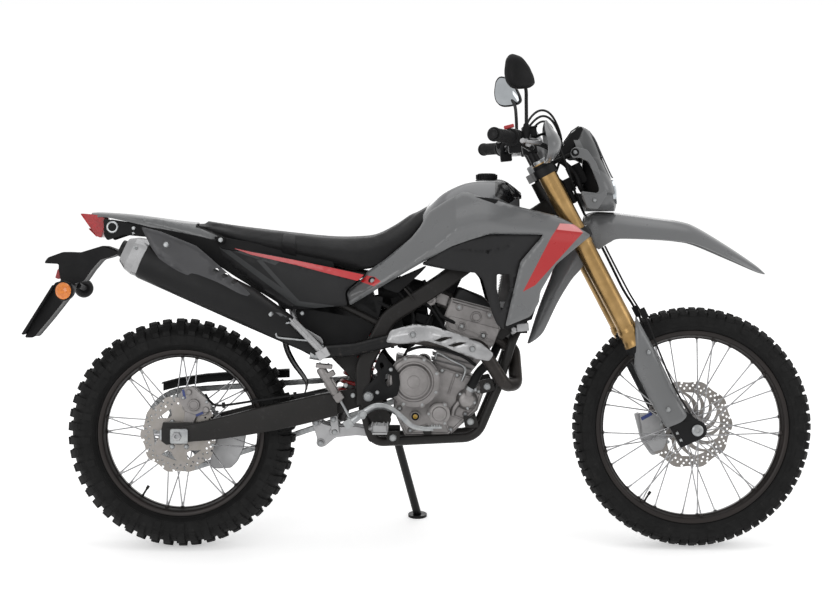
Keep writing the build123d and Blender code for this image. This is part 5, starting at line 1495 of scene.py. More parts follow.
guardPart = sheetPart(guardShape["outline"], guardSurface, 3.0, (), 10, 7.0, 5, 4,
    (((1290, 640), (1292, 520), 5, -1.6), ((1292, 520), (1380, 362), 5, -1.6)))
sidePair("forkGuard", guardPart, "greyAbs", "steering", ("fork_guards",))
screwSet("guardPins", "steering", onBoth([(1318, 560), (1372, 400)], 139, 7))
holder = []
for side in (-1, 1):
    outline = [(1381, 344), (1392, 362), (1415, 368), (1464, 366), (1481, 347), (1478, 326), (1462, 314),
        (1430, 306), (1400, 312)]
    holder.append(platePart(outline, side * 101 - 22, side * 101 + 22, 7))
meshPiece("axleHolders", holder, "blackPowder", "steering", bevel=2.0)
nuts = turnedPair((1455, 124, 341), [(0, 0), (0, 16), (6, 16), (8, 13), (8, 7), (4, 6), (4, 0)], 36)
meshPiece("axleEnds", nuts, "zincPlate", "steering")
print("fork made")

# front brake: caliper halves, blue bits, pads and hose
caliperParts = [platePart([(1312, 372), (1324, 300), (1352, 262), (1380, 270), (1392, 300), (1368, 372)], 40, 52,
    6), platePart([(1300, 372), (1320, 292), (1350, 250), (1374, 256), (1398, 292), (1362, 372)], 66, 92, 8),
    platePart([(1316, 352), (1328, 306), (1350, 280), (1362, 300), (1344, 356)], 92, 98, 6)]
caliperParts += [bossPart(1330, 338, 90, 15, 14, 2.0, 1), bossPart(1350, 300, 90, 13, 14, 2.0, 1)]
meshPiece("frontCaliperBody", caliperParts, "satinAlloy", "steering", ("front_caliper",), bevel=2.0)
meshPiece("frontCaliperCaps",
    [bossPart(1330, 338, 103, 10, 3, 0, 1), bossPart(1350, 300, 103, 8, 3, 0, 1),
    boxPart((1332, 47, 366), (34, 16, 10), 0.5)], "blueCap", "steering")
screwSet("caliperScrews", "steering", onSide(1, [(1364, 350), (1384, 300), (1312, 366)], 92, 7)
    + onSide(-1, [(1364, 350), (1384, 300)], -38, 5))
hoseClampPart = [boxPart((1309, 88, 667), (18, 16, 32), 0.47), boxPart((1309, -86, 667), (18, 14, 30), 0.47)]
meshPiece("hoseClamps", hoseClampPart, "blackPp", "steering")

# cowl: one shell from lamp to screen, its smoked face, and the lamp with its housing
cowlRows = [
    # z, half width, rear edge x, front x
    (956, 52, 1152, 1236), (975, 78, 1144, 1240), (1000, 92, 1138, 1238), (1008, 93, 1180, 1238),
        (1035, 96, 1178, 1229),
    (1070, 92, 1164, 1213), (1100, 84, 1146, 1201), (1112, 80, 1128, 1197), (1140, 70, 1119, 1186),
        (1170, 54, 1112, 1172),
    (1188, 38, 1124, 1160), (1197, 20, 1132, 1146),
]
cowlPart = archPart(cowlRows, 3.5, 40, 2.5, upright, 6)
meshPiece("cowlShell", cowlPart, "cowlAbs", "steering", ("headlight_cowl",))
frontFace = []
for z, wide, edge, front in smoothRows([list(r)
        for r in ((1050, 30, 0, 1229), (1062, 40, 0, 1222), (1117, 36, 0, 1197), (1160, 28, 0, 1178),
        (1186, 16, 0, 1160))], 5):
    ring = [Vector((front - (abs(y) / 30) ** 2 * 1.6 + 2.4, y, z)) for y in [wide * k / 8 for k in range(-8, 9)]]
    back = [p - Vector((4, 0, 0)) for p in reversed(ring)]
    frontFace.append(ring + back)
meshPiece("cowlFace", loftPart(frontFace), "smokeScreen", "steering")
lensRows = []
for z, wide, front in smoothRows([[976, 30, 1240], [990, 50, 1241], [1010, 56, 1241], [1030, 50, 1237],
        [1044, 34, 1231]], 5):
    ring = [Vector((front - (abs(y) / 56) ** 2.2 * 9 + 2.0, y, z)) for y in [wide * k / 10 for k in range(-10, 11)]]
    lensRows.append(ring + [p - Vector((8, 0, 0)) for p in reversed(ring)])
meshPiece("lampLens", loftPart(lensRows), "clearLens", "steering", ("headlamp",))
lampBack = [Vector((1196, y, z)) for y,
    z in ((-60, 985), (60, 985), (66, 1030), (50, 1110), (-50, 1110), (-66, 1030))]
meshPiece("lampHousing",
    loftPart([lampBack, [p + Vector((-34, -p.y * 0.3, 6)) for p in lampBack],
    [p + Vector((-52, -p.y * 0.6, 10)) for p in lampBack]]), "blackPp", "steering", bevel=3.0)
ear = platePart([(1116, 1136), (1104, 1126), (1102, 1112), (1112, 1104), (1128, 1106), (1154, 1093), (1190, 1004),
    (1132, 1011), (1150, 962), (1180, 960), (1206, 1002), (1176, 1090), (1150, 1128)], -92, -84, 6)
sidePair("cowlEar", ear, "greyAbs", "steering", bevel=2.0)
sidePair("cowlMount",
    [bossPart(1116, 1120, -88, 11, 8, 2.0),
    tubePart([(1116, -90, 1120), (1080, -70, 1104), (1050, -60, 1090)], 6, 10)], "blackPp", "steering")
screwSet("cowlScrews", "steering", onBoth([(1116, 1120), (1170, 985)], 96, 6))
meterShape = [(1070, 1116), (1092, 1151), (1112, 1180), (1134, 1196), (1142, 1188), (1124, 1150), (1104, 1112)]
meshPiece("meterCase", platePart(meterShape, -62, 62, 8), "blackPp", "steering", ("meter",), bevel=3.0)
meshPiece("meterGlass",
    platePart([(1089, 1150), (1109, 1179), (1131, 1195), (1128, 1197), (1106, 1182), (1085, 1152)], -52, 52, 1.0),
    "blackGloss", "steering")
print("cowl made")

# handlebar controls: grips with ribs, levers and switches
barMid = Vector((989.11, 0, 1132.5))


def atBar(ahead, y, up):
    return barMid + Vector((ahead, y, up))


gripStart, gripEnd = atBar(-64, -294, 18.2), atBar(-114, -410, 20.2)
gripWay = (gripEnd - gripStart).normalized()
gripLength = (gripEnd - gripStart).length
gripRows = [(-6, 12), (-6, 24), (0, 25), (4, 24), (5, 17)]
gripRibs = 18
step = (gripLength - 18) / gripRibs
for n in range(gripRibs):
    t = 8 + (gripLength - 18) * n / gripRibs
    gripRows += [(t, 16.2), (t + step * 0.2, 17.8), (t + step * 0.6, 17.8), (t + step * 0.75, 16.2)]
gripRows += [(gripLength - 6, 17), (gripLength - 4, 19.5), (gripLength, 19.5), (gripLength + 2, 17),
    (gripLength + 2, 12), (-6, 12)]
sidePair("grip", turnedPart(gripStart, gripWay, gripRows, 32), "gripRubber", "steering", ("grips",))
endRows = [(gripLength - 2, 0), (gripLength - 2, 12), (gripLength + 4, 14), (gripLength + 12, 13),
    (gripLength + 14, 10), (gripLength + 14, 0)]
sidePair("barEnd", turnedPart(gripStart, gripWay, endRows, 28), "blackPowder", "steering")
switchParts = [turnedPart(atBar(-60, -286, 18), -gripWay, [(0, 0), (0, 23), (4, 25), (34, 25), (40, 20), (40, 0)],
    28), boxPart(atBar(-52, -266, -8), (34, 36, 30), 0.1), boxPart(atBar(-68, -268, 26), (26, 30, 20), 0.2)]
sidePair("switchgear", switchParts, "blackPp", "steering", bevel=2.5)
meshPiece("stopSwitch",
    [boxPart((921, -272, 1181), (28, 18, 10), 0.25), boxPart((921, -272, 1172), (12, 10, 12), 0.25)], "redVinyl",
    "steering", bevel=2.0)
meshPiece("indicatorSwitch", boxPart((916, 262, 1168), (12, 26, 9), 0.25), "silverButton", "steering", bevel=2.0)
leverRoute = [atBar(-16, -238, 14), atBar(10, -262, 9), atBar(14, -300, 4), atBar(-4, -340, 2), atBar(-22, -376, 2),
    atBar(-40, -412, 3)]
sidePair("lever", tubePart(leverRoute, [(0, 10), (0.15, 8), (0.5, 5.2), (0.92, 5.0), (0.97, 7.4), (1, 6)], 14, 6),
    "satinAlloy", "steering", ("controls",))
perchParts = [boxPart(atBar(-36, -252, 16), (40, 22, 18), 0.12), bossPart(976, 1136, -250, 9, 6),
    turnedPart(atBar(-13, -240, 2), (0, 0, 1), [(-2, 0), (-2, 9), (26, 9), (28, 7), (28, 0)], 24)]
sidePair("leverPerch", perchParts, "satinAlloy", "steering", bevel=2.0)
reservoirParts = [boxPart(atBar(-10, -222, 34), (40, 46, 26), 0.1), boxPart(atBar(-10, -222, 49), (43, 49, 5), 0.1)]
meshPiece("brakeReservoir", reservoirParts, "blackPp", "steering", bevel=3.0)
screwSet("reservoirScrews", "steering",
    [(atBar(-10 + a, -222 + b, 51), (0, 0, 1), 3.6) for a, b in ((-14, 17), (14, -17))]
    + [(atBar(-13, y, 29), (0, 0, 1), 6) for y in (-240, 240)])
barClamps = []
for y in (-45, 45):
    barClamps += [boxPart(atBar(0, y, 2), (42, 30, 36), 0.2), boxPart(atBar(2, y, 21), (44, 30, 10), 0.2)]
meshPiece("barClamps", barClamps, "blackPowder", "steering", bevel=3.0)
screwSet("barScrews", "steering",
    [(atBar(dx + 4, y, 28), (-0.2, 0, 0.98), 7) for dx in (-14, 14) for y in (-45, 45)])

# deflectors in front of the grips: bowed shells
deflectorRows = [(1098, 18, 1036, 1050), (1110, 56, 1040, 1062), (1126, 76, 1042, 1076), (1150, 82, 1040, 1082),
    (1172, 74, 1036, 1074), (1192, 52, 1034, 1058), (1208, 30, 1036, 1048), (1215, 14, 1038, 1043)]
deflector = movedPart(archPart(deflectorRows, 3.5, 30, 2.4, upright, 5), (-16, -235, -14))
sidePair("deflector", deflector, "greyAbs", "steering", ("hand_guards",))
stay = tubePart([(1034, -235, 1124), (1014, -225, 1134), (996, -215, 1140)], 7, 10)
sidePair("deflectorStay", stay, "blackPp", "steering")

# mirrors: domed shells with glass in a rim
mirrorShape = [(925, 1374), (948, 1367), (966, 1343), (980, 1310), (983, 1293), (974, 1283), (951, 1278),
    (929, 1278), (914, 1296), (910, 1322), (914, 1358)]
middleX = sum(x for x, z in mirrorShape) / len(mirrorShape)
middleZ = sum(z for x, z in mirrorShape) / len(mirrorShape)
mirrorTurn = Matrix.Rotation(radians(62), 3, "Z")


def mirrorSection(scale, depth, y):
    # the outline seen from ahead, spread to a real mirror's width, at a depth along x
    ring = []
    for x, z in roundCorners(mirrorShape, 10, 4):
        across = (x - middleX) * scale * 1.25
        flat = Vector((depth, across, (z - middleZ) * scale))
        turned = mirrorTurn.inverted() @ flat
        ring.append(Vector((middleX + turned.x, y + turned.y, middleZ + turned.z)))
    return ring


mirrorY = -336
shell = loftPart([mirrorSection(0.5, 26, mirrorY), mirrorSection(0.8, 20, mirrorY),
    mirrorSection(0.95, 10, mirrorY), mirrorSection(1.0, 0, mirrorY), mirrorSection(0.98, -6, mirrorY),
    mirrorSection(0.9, -6.5, mirrorY)])
sidePair("mirrorShell", shell, "blackPp", "steering", ("mirrors",))
sidePair("mirrorGlass",
    loftPart([mirrorSection(0.9, -5, mirrorY), mirrorSection(0.9, -8, mirrorY),
    mirrorSection(0.87, -8.6, mirrorY)]), "mirrorGlass", "steering")
stem = tubePart([(969, -262, 1180), (969, -264, 1215), (968, -276, 1250), (966, -300, 1278), (958, -326, 1300)],
    5.0, 14)
stemBoot = turnedPart((967, -261, 1150), (0.05, 0, 1), [(0, 0), (0, 11), (10, 12), (30, 9), (40, 7), (40, 0)], 24)
sidePair("mirrorStem", stem, "blackPowder", "steering")
sidePair("mirrorBoot", stemBoot, "gripRubber", "steering")
print("bars and mirrors made")


def freeHose(name, route, diameter, body):
    # a hose or cable held at both ends: one smooth spline through space
    curve = bpy.data.curves.new(name, "CURVE")
    curve.dimensions = "3D"
    spline = curve.splines.new("NURBS")
    spline.points.add(len(route) - 1)
    for point, spot in zip(spline.points, route):
        point.co = (*(bikeToRow @ Vector(spot)), 1.0)
    spline.order_u = 3
    spline.use_endpoint_u = True
    curve.resolution_u = 12
    hose = bpy.data.objects.new(name, curve)
    bpy.context.scene.collection.objects.link(hose)
    line = bpy.data.meshes.new_from_object(hose)
    bpy.data.meshes.remove(line)
    curve.bevel_depth = diameter / 2
    curve.bevel_resolution = 4
    curve.use_fill_caps = True
    curve.materials.append(finishes["gripRubber"])
    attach(hose, body)


clutchRoute = [(978, 232, 1140), (1004, 190, 1186), (1022, 140, 1216), (1044, 90, 1222), (1066, 50, 1192),
    (1072, 30, 1140), (1064, 22, 1090), (1052, 20, 1050)]
throttleRoute = [(944, -262, 1130), (966, -230, 1180), (988, -180, 1218), (1016, -140, 1238), (1046, -110, 1230),
    (1070, -84, 1190), (1082, -60, 1150), (1080, -36, 1100), (1062, -24, 1054)]
secondThrottle = [(950, -254, 1128), (970, -222, 1172), (996, -172, 1206), (1022, -132, 1222), (1048, -102, 1214),
    (1070, -76, 1180), (1080, -52, 1142), (1078, -28, 1096), (1062, -14, 1052)]
brakeRoute = [(990, -216, 1150), (1014, -196, 1170), (1046, -160, 1160), (1076, -120, 1120), (1100, -86, 1060),
    (1122, -40, 1000), (1150, 20, 950), (1180, 66, 900), (1210, 84, 850), (1240, 88, 790), (1272, 88, 724),
    (1300, 88, 684), (1318, 90, 650)]
freeHose("clutchCable", clutchRoute, 0.0065, "steering")
freeHose("throttleCable", throttleRoute, 0.0065, "steering")
freeHose("returnCable", secondThrottle, 0.0065, "steering")
freeHose("brakeHose", brakeRoute, 0.0075, "steering")
meshPiece("legHoses", [
    tubePart([(1318, 90, 652), (1336, 132, 600), (1366, 142, 500), (1384, 140, 420), (1372, 112, 366),
        (1350, 96, 350)], 3.8, 10),
    tubePart([(1200, -84, 857), (1234, -86, 790), (1270, -86, 722), (1304, -86, 668), (1320, -100, 640)], 2.6, 8),
    tubePart([(1320, -100, 640), (1348, -132, 560), (1390, -140, 460), (1440, -120, 380), (1452, -96, 352)], 2.6,
        8)],
    "gripRubber", "steering")
loomParts = [tubePart([(1060, -30, 1110), (1090, -44, 1090), (1120, -50, 1060), (1136, -46, 1020),
    (1156, -30, 1000)], 8, 12),
    tubePart([(1056, 30, 1120), (1094, 44, 1096), (1130, 46, 1050), (1160, 30, 1010)], 7, 12),
    tubePart([(1040, 0, 1060), (1076, -20, 1040), (1104, -34, 1010), (1120, -30, 980)], 9, 12),
    boxPart((1128, 0, 1060), (40, 70, 60), 0.45), boxPart((1104, -30, 1030), (26, 22, 40), 0.45)]
meshPiece("frontLoom", loomParts, "gripRubber", "steering", bevel=2.0)
print("cables made")

# tail: lamp, panel under the cowl, plate holder, indicators and reflector
lampShape = [(-287, 949), (-262, 947), (-233, 944), (-214, 936), (-213, 922), (-217, 903), (-225, 879), (-236, 885),
    (-258, 908)]
lampRings = []
for y, inset in ((-43, 5), (-40, 1), (-26, 0), (26, 0), (40, 1), (43, 5)):
    lampRings.append([(x + (inset if x < -240 else -inset * 0.5), y, z) for x, z in roundCorners(lampShape, 5)])
meshPiece("tailLens", loftPart(lampRings), "redLens", "chassis")
meshPiece("tailLensRidge", [tubePart([(-262, y, 906), (-240, y, 884)], 1.6, 6) for y in range(-32, 33, 8)],
    "redLens", "chassis")
tailPanel = [(-216, 934), (-89, 914), (60, 884), (62, 868), (-85, 881), (-158, 888), (-205, 872), (-214, 886)]
meshPiece("tailPanel", [platePart(tailPanel, low, low + 4, 6) for low in (-64, 60)], "blackPp", "chassis",
    bevel=1.5)
roundBoss = turnedPair((-190, 62, 910), [(0, 11), (0, 17), (6, 17), (8, 15), (8, 12), (3, 11), (0, 11)], 36)
meshPiece("tailBoss", roundBoss, "zincPlate", "chassis")
meshPiece("tailBossCap", turnedPair((-190, 62, 910), [(0, 0), (0, 11), (5, 11), (6, 0)], 28), "blackPp", "chassis")
screwSet("tailScrews", "chassis", onBoth([(-130, 907), (40, 878)], 65, 6))
plateHolder = [(-219, 858), (-185, 846), (-171, 837), (-200, 826), (-227, 819), (-252, 790), (-275, 757),
    (-301, 752), (-331, 702), (-372, 650), (-416, 598), (-442, 598), (-398, 680), (-356, 753), (-339, 757),
    (-346, 792), (-345, 807), (-387, 809), (-377, 824), (-333, 840), (-285, 838)]
holderRings = []
for y, grow in ((-48, 2), (-44, 0), (44, 0), (48, 2)):
    holderRings.append([(x, y, z - grow) for x, z in roundCorners(plateHolder, 6)])
meshPiece("plateHolder", loftPart(holderRings), "blackPp", "chassis", ("rear_fender",), bevel=1.5)
plate = loftPart([[Vector((-351, -88, 744)), Vector((-351, 88, 744)), Vector((-438, 88, 606)),
    Vector((-438, -88, 606))],
    [Vector((-356, -88, 747)), Vector((-356, 88, 747)), Vector((-443, 88, 609)), Vector((-443, -88, 609))]])
meshPiece("plateBack", plate, "blackPp", "chassis", bevel=1.0)
indicatorParts, indicatorLens, indicatorStalks = [], [], []
for side in (-1, 1):
    spot = (-304, side * 138, 732)
    way = (-0.25, side * 0.97, 0)
    indicatorParts.append(turnedPart(spot, way,
        [(-8, 0), (-8, 14), (0, 24), (10, 27), (24, 28), (28, 27), (28, 24), (20, 23), (20, 0)], 40))
    indicatorLens.append(turnedPart(spot, way, [(20, 0), (20, 23), (28, 23.5), (33, 19), (36, 11), (37, 0)], 40))
    indicatorStalks.append(tubePart([(-304, side * 36, 742), (-306, side * 80, 740), (-304, side * 132, 733)], 8,
        14))
meshPiece("indicatorCases", indicatorParts, "blackPp", "chassis", ("rear_lamps",))
meshPiece("indicatorLenses", indicatorLens, "amberLens", "chassis")
meshPiece("indicatorStalks", indicatorStalks, "gripRubber", "chassis")
meshPiece("reflector", platePart([(-358, 766), (-351, 790), (-346, 792), (-343, 766), (-348, 762)], -34, 34, 3),
    "redLens", "chassis", bevel=1.0)
print("tail made")

# inner mud flap, swingarm, axle blocks, chain guide and cover
meshPiece("innerFlap",
    archPart([(437, 50, 350, 352), (470, 54, 356, 350), (522, 58, 322, 312), (570, 60, 300, 290),
    (640, 60, 292, 280), (700, 60, 286, 272), (770, 58, 236, 214), (845, 54, 160, 136)], 3.5, 20, 3.0, upright, 4),
    "blackPp", "chassis", ("mud_flap",))
armParts = []
for side in (-1, 1):
    rows = [(-30, 332, 16), (56, 336, 25), (150, 352, 31), (232, 369, 35), (330, 389, 36), (403, 406, 35),
        (448, 415, 31)]
    rings = []
    for x, z, half in smoothRows([list(r) for r in rows], 4):
        ring = roundCorners([(-15.5, -half - 1), (15.5, -half - 1), (15.5, half + 1), (-15.5, half + 1)], 6, 4)
        rings.append([(x, side * 107 + u, z + v) for u, v in ring])
    armParts.append(loftPart(rings))
meshPiece("swingarmBeams", armParts, "framePowder", "chassis")
blocks = platePair([(-16, 304), (28, 304), (31, 308), (31, 342), (28, 346), (-16, 346), (-19, 342), (-19, 308)],
    127, 5, 3)
blocks += [boxPart((-44, side * 107, 328), (12, 26, 30)) for side in (-1, 1)]
meshPiece("axleBlocks", blocks, "zincPlate", "chassis", bevel=2.0)
ends = turnedPair((0, 131, 325), [(0, 6), (0, 14), (9, 13), (10, 11), (10, 6), (0, 6)], 6)
ends += [turnedPart((-50, side * 107, 328), (-1, 0, 0), [(0, 0), (0, 5), (16, 5), (16, 0)], 12) for side in (-1, 1)]
meshPiece("axleNuts", ends, "brightSteel", "chassis", smooth=False, bevel=0.6)
guide = platePart([(94, 298), (130, 310), (175, 313), (168, 270), (150, 232), (132, 214), (92, 212), (70, 217),
    (76, 260)], 66, 72, 6)
guideTwo = movedPart(guide, (0, 22, 0))
meshPiece("chainGuide", [guide, guideTwo], "satinAlloy", "chassis", bevel=1.5)
guardStrip = loftPart([[(x, 66, z), (x, 104, z), (x, 108, z - 4), (x, 108, z - 26), (x, 104, z - 27),
    (x, 104, z - 6), (x, 66, z - 4)] for x,
    z in ((-69, 461), (-20, 474), (60, 486), (143, 492), (230, 497), (300, 500))])
meshPiece("chainCover", guardStrip, "blackPp", "chassis", ("chain_guard",), bevel=1.0)
screwSet("armScrews", "chassis", onSide(1, [(20, 462), (150, 478), (280, 486)], 109, 5)
    + onSide(-1, [(-10, 325), (100, 300)], -122, 5))
print("swingarm made")

# chain: plates and pins set on points along one loop round the sprockets
chainLoop = {
    "pitch": 15.875, "frontRadius": 36.0, "rearRadius": 114.0, "front": (607.0, 445.0), "rear": (0.0, 325.0),
        "y": 78.0,
    # girths of outer and inner links; sizes below are in metres, the plate's length in pitches
    "outer": 1000.0, "inner": 820.0,
    "plate": {"length": 1.42, "thick": 0.0016, "high": 0.0135, "out": 0.0068},
    "pin": {"radius": 0.0042, "length": 0.017},
}


def chainPoints(settings):
    # link places round both sprockets: two tangents and two arcs
    (fx0, fz0), (rx0, rz0) = settings["front"], settings["rear"]
    apart = hypot(fx0 - rx0, fz0 - rz0)
    base = atan2(fz0 - rz0, fx0 - rx0)
    tilt = sin((settings["rearRadius"] - settings["frontRadius"]) / apart)
    top = base + pi / 2 - tilt
    low = base - pi / 2 + tilt
    path = []
    for n in range(60):
        turn = top + (low - top) * n / 59
        path.append((fx0 + settings["frontRadius"] * cos(turn), fz0 + settings["frontRadius"] * sin(turn)))
    for n in range(120):
        turn = low - (2 * pi - (top - low)) * n / 119
        path.append((rx0 + settings["rearRadius"] * cos(turn), rz0 + settings["rearRadius"] * sin(turn)))
    path.append(path[0])
    total = sum(hypot(b[0] - a[0], b[1] - a[1]) for a, b in zip(path, path[1:]))
    links = 2 * round(total / settings["pitch"] / 2)
    step, walked, spots, n = total / links, 0.0, [], 0
    for a, b in zip(path, path[1:]):
        length = hypot(b[0] - a[0], b[1] - a[1])
        while n * step <= walked + length and n < links:
            t = (n * step - walked) / max(1e-9, length)
            spots.append((a[0] + (b[0] - a[0]) * t, a[1] + (b[1] - a[1]) * t))
            n += 1
        walked += length
    return spots


def chainTree(settings):
    # each point gets a pin and a pair of side plates along its own direction
    pitch, plate, pinSizes = settings["pitch"] / 1000, settings["plate"], settings["pin"]
    tree, given, made = geometryTree("chainLinks", [("Pitch", "Float", pitch)])
    facing = addNode(tree, "GeometryNodeInputNamedAttribute", {"data_type": "FLOAT_VECTOR"}, Name="facing")
    girth = addNode(tree, "GeometryNodeInputNamedAttribute", {"data_type": "FLOAT"}, Name="girth")
    wide = addNode(tree, "ShaderNodeMath", {"operation": "MULTIPLY"}, i0=given.outputs["Pitch"], i1=plate["length"])
    size = addNode(tree, "ShaderNodeCombineXYZ", None, X=wide, Y=plate["thick"], Z=plate["high"])
    plateMesh = addNode(tree, "GeometryNodeMeshCube", None, Size=size)
    moved = [addNode(tree, "GeometryNodeTransform", None, Geometry=plateMesh,
        Translation=(0, sign * plate["out"], 0)) for sign in (-1, 1)]
    pin = addNode(tree, "GeometryNodeMeshCylinder", None, Vertices=10, Radius=pinSizes["radius"],
        Depth=pinSizes["length"])
    laid = addNode(tree, "GeometryNodeTransform", None, Geometry=pin, Rotation=(pi / 2, 0, 0),
        Translation=(pitch / 2, 0, 0))
    link = addNode(tree, "GeometryNodeJoinGeometry")
    for node in (*moved, laid):
        tree.links.new(node.outputs[0], link.inputs[0])
    turn = addNode(tree, "FunctionNodeAlignRotationToVector", {"axis": "X", "pivot_axis": "Y"}, Vector=facing)
    grow = addNode(tree, "ShaderNodeCombineXYZ", None, X=1.0, Y=girth, Z=1.0)
    placed = addNode(tree, "GeometryNodeInstanceOnPoints", None, Points=given.outputs[0], Instance=link,
        Rotation=turn, Scale=grow)
    real = addNode(tree, "GeometryNodeRealizeInstances", None, Geometry=placed)
    dressed = addNode(tree, "GeometryNodeSetMaterial", None, Geometry=real, Material=finishes["zincPlate"])
    tree.links.new(dressed.outputs[0], made.inputs[0])
    return tree


linkSpots = chainPoints(chainLoop)
linkRows = []
for n, (x, z) in enumerate(linkSpots):
    nx, nz = linkSpots[(n + 1) % len(linkSpots)]
    way = Vector((nx - x, 0, nz - z)).normalized()
    linkRows.append((((x + nx) / 2, chainLoop["y"], (z + nz) / 2), way, chainLoop["outer" if n % 2 else "inner"]))
grown("chainLinks", pointsMesh("chainLinks", linkRows), chainTree(chainLoop), {}, "zincPlate", "chassis",
    ("chain",))
print("chain made:", len(linkRows), "links")

# rear brake: caliper and its carrier, master cylinder with rod, hose to the caliper
rearCaliper = [platePart([(2, 424), (6, 448), (24, 462), (44, 458), (60, 444), (88, 420), (92, 396), (76, 380),
    (52, 380), (18, 392)], -96, -77, 7),
    platePart([(4, 452), (40, 462), (84, 424), (78, 390), (24, 396)], -63, -52, 6),
    platePart([(20, 404), (60, 398), (36, 346), (12, 350)], -92, -84, 5)]
rearCaliper += [bossPart(44, 410, -94, 17, 12, 2.0), bossPart(78, 396, -94, 9, 9), bossPart(30, 446, -94, 8, 12)]
meshPiece("rearCaliperBody", rearCaliper, "castAlloy", "chassis", bevel=2.0)
meshPiece("rearCaliperCaps", [boxPart((16, -90, 440), (7, 14, 26), 0.2), boxPart((60, -92, 384), (22, 12, 7), 0.4)],
    "blueCap", "chassis")
master = [turnedPart((404, -140, 512), (0.51, 0, -0.86),
    [(-6, 0), (-6, 11), (0, 14), (22, 14), (26, 12), (74, 12), (78, 10), (104, 9), (104, 0)], 28),
    boxPart((412, -138, 522), (46, 34, 12), -0.1), boxPart((430, -134, 470), (30, 22, 26), 0.6),
    boxPart((452, -138, 436), (26, 24, 22), 0.6), boxPart((424, -136, 496), (38, 28, 16), 0.5)]
meshPiece("rearMasterCylinder", master, "castAlloy", "chassis", ("rear_brake",), bevel=2.0)
meshPiece("masterRod",
    [tubePart([(458, -138, 424), (474, -140, 396), (486, -142, 372)], 4, 10),
    boxPart((486, -142, 372), (14, 12, 18), 0.5)], "zincPlate", "chassis")
screwSet("masterScrews", "chassis", onSide(-1, [(472, 468), (492, 440)], -134, 7)
    + onSide(-1, [(14, 430), (80, 418)], -97, 5)
    + [((400 + 24 * n, -138, 529 - 2 * n), (0, 0, 1), 4) for n in (0, 1)])
meshPiece("rearBrakeHose",
    tubePart([(452, -126, 480), (420, -124, 452), (330, -124, 440), (220, -124, 424), (120, -118, 410),
    (90, -100, 420), (76, -92, 440)], 3.4, 10), "gripRubber", "chassis")
meshPiece("hoseGuides", [boxPart((x, -120, z), (9, 10, 16), 0.15) for x, z in ((330, 440), (220, 424), (130, 411))],
    "blackPp", "chassis", bevel=1.0)

# footrests, pedals and levers
pedalRoute = [(478, -200, 366), (500, -200, 378), (528, -200, 400), (560, -200, 415), (594, -198, 410),
    (626, -196, 388), (658, -192, 360), (690, -190, 352), (716, -190, 352)]
pedalParts = [tubePart(pedalRoute, [(0, 9), (0.3, 9.5), (0.6, 8), (0.9, 6.5), (1, 6)], 14, 6, flatten=0.55),
    bossPart(520, 392, -192, 13, 16, 3.0), boxPart((722, -194, 357), (34, 34, 6)),
    boxPart((482, -200, 366), (24, 14, 24), 0.6)]
pedalParts += [boxPart((712 + 7 * n, -194, 362), (3, 32, 6)) for n in range(4)]
shiftParts = [tubePart([(640, 128, 372), (664, 130, 356), (700, 132, 342), (742, 132, 352)],
    [(0, 8), (0.5, 6.5), (1, 6)], 14, 6, flatten=0.7), bossPart(640, 372, 118, 12, 16, 3.0, 1)]
meshPiece("footLeverSet", pedalParts + shiftParts, "zincPlate", "chassis", ("foot_levers",), bevel=1.0)
meshPiece("shiftRubber",
    turnedPart((742, 126, 352), (0, 1, 0), [(0, 0), (0, 9), (3, 10), (40, 10), (44, 8), (44, 0)], 24), "gripRubber",
    "chassis")
pegParts = []
for side in (-1, 1):
    pegParts += [boxPart((570, side * 244, 348), (40, 96, 5)), boxPart((570, side * 190, 356), (34, 14, 20)),
        boxPart((570, side * 168, 356), (30, 40, 16))]
    for n in range(5):
        y = side * (204 + 20 * n)
        pegParts.append(boxPart((570, y, 360), (44, 3, 18)))
    for n in range(-2, 3):
        pegParts.append(boxPart((570 + 20 * (1 if n > 0 else -1), side * 244, 360), (3, 92, 18)))
    pegParts.append(tubePart([(566, side * 160, 356), (552, side * 124, 352), (540, side * 98, 346)], 11, 14))
    pegParts.append(bossPart(580, 352, side * 176, 6, 10, 0, side))
meshPiece("riderPegs", pegParts, "satinAlloy", "chassis", ("footpegs",), bevel=0.8)
teeth = []
for side in (-1, 1):
    for n in range(10):
        for x in (549, 560, 580, 591):
            teeth.append(turnedPart((x, side * (204 + 9 * n), 368), (0, 0, 1), [(0, 0), (0, 2.2), (4, 1.4), (4, 0)],
                8))
meshPiece("pegTeeth", teeth, "satinAlloy", "chassis", smooth=False)
carriers = []
for side in (-1, 1):
    bracket = [(298, 640), (318, 650), (404, 600), (410, 586), (396, 548), (384, 546), (382, 570), (374, 584),
        (312, 616), (294, 622)]
    carriers.append(platePart(bracket, side * 122 - 5, side * 122 + 5, 6))
    carriers.append(turnedPart((300, side * 118, 636), (0, side, 0),
        [(0, 0), (0, 11), (14, 11), (14, 8), (20, 8), (22, 12), (66, 12), (70, 10), (70, 0)], 24))
    carriers.append(tubePart([(392, side * 118, 560), (352, side * 110, 600), (330, side * 96, 640),
        (318, side * 80, 680)], 9, 12))
meshPiece("pillionCarriers", carriers, "satinAlloy", "chassis", bevel=1.5)
rubbers = turnedPair((300, 142, 636), [(0, 12), (0, 14), (42, 14), (44, 12), (0, 12)], 24)
meshPiece("pillionRubbers", rubbers, "gripRubber", "chassis")
screwSet("pegScrews", "chassis", onBoth([(312, 634), (392, 590), (390, 556)], 128, 6)
    + onBoth([(560, 356), (548, 410)], 128, 6))
print("pegs and pedals made")

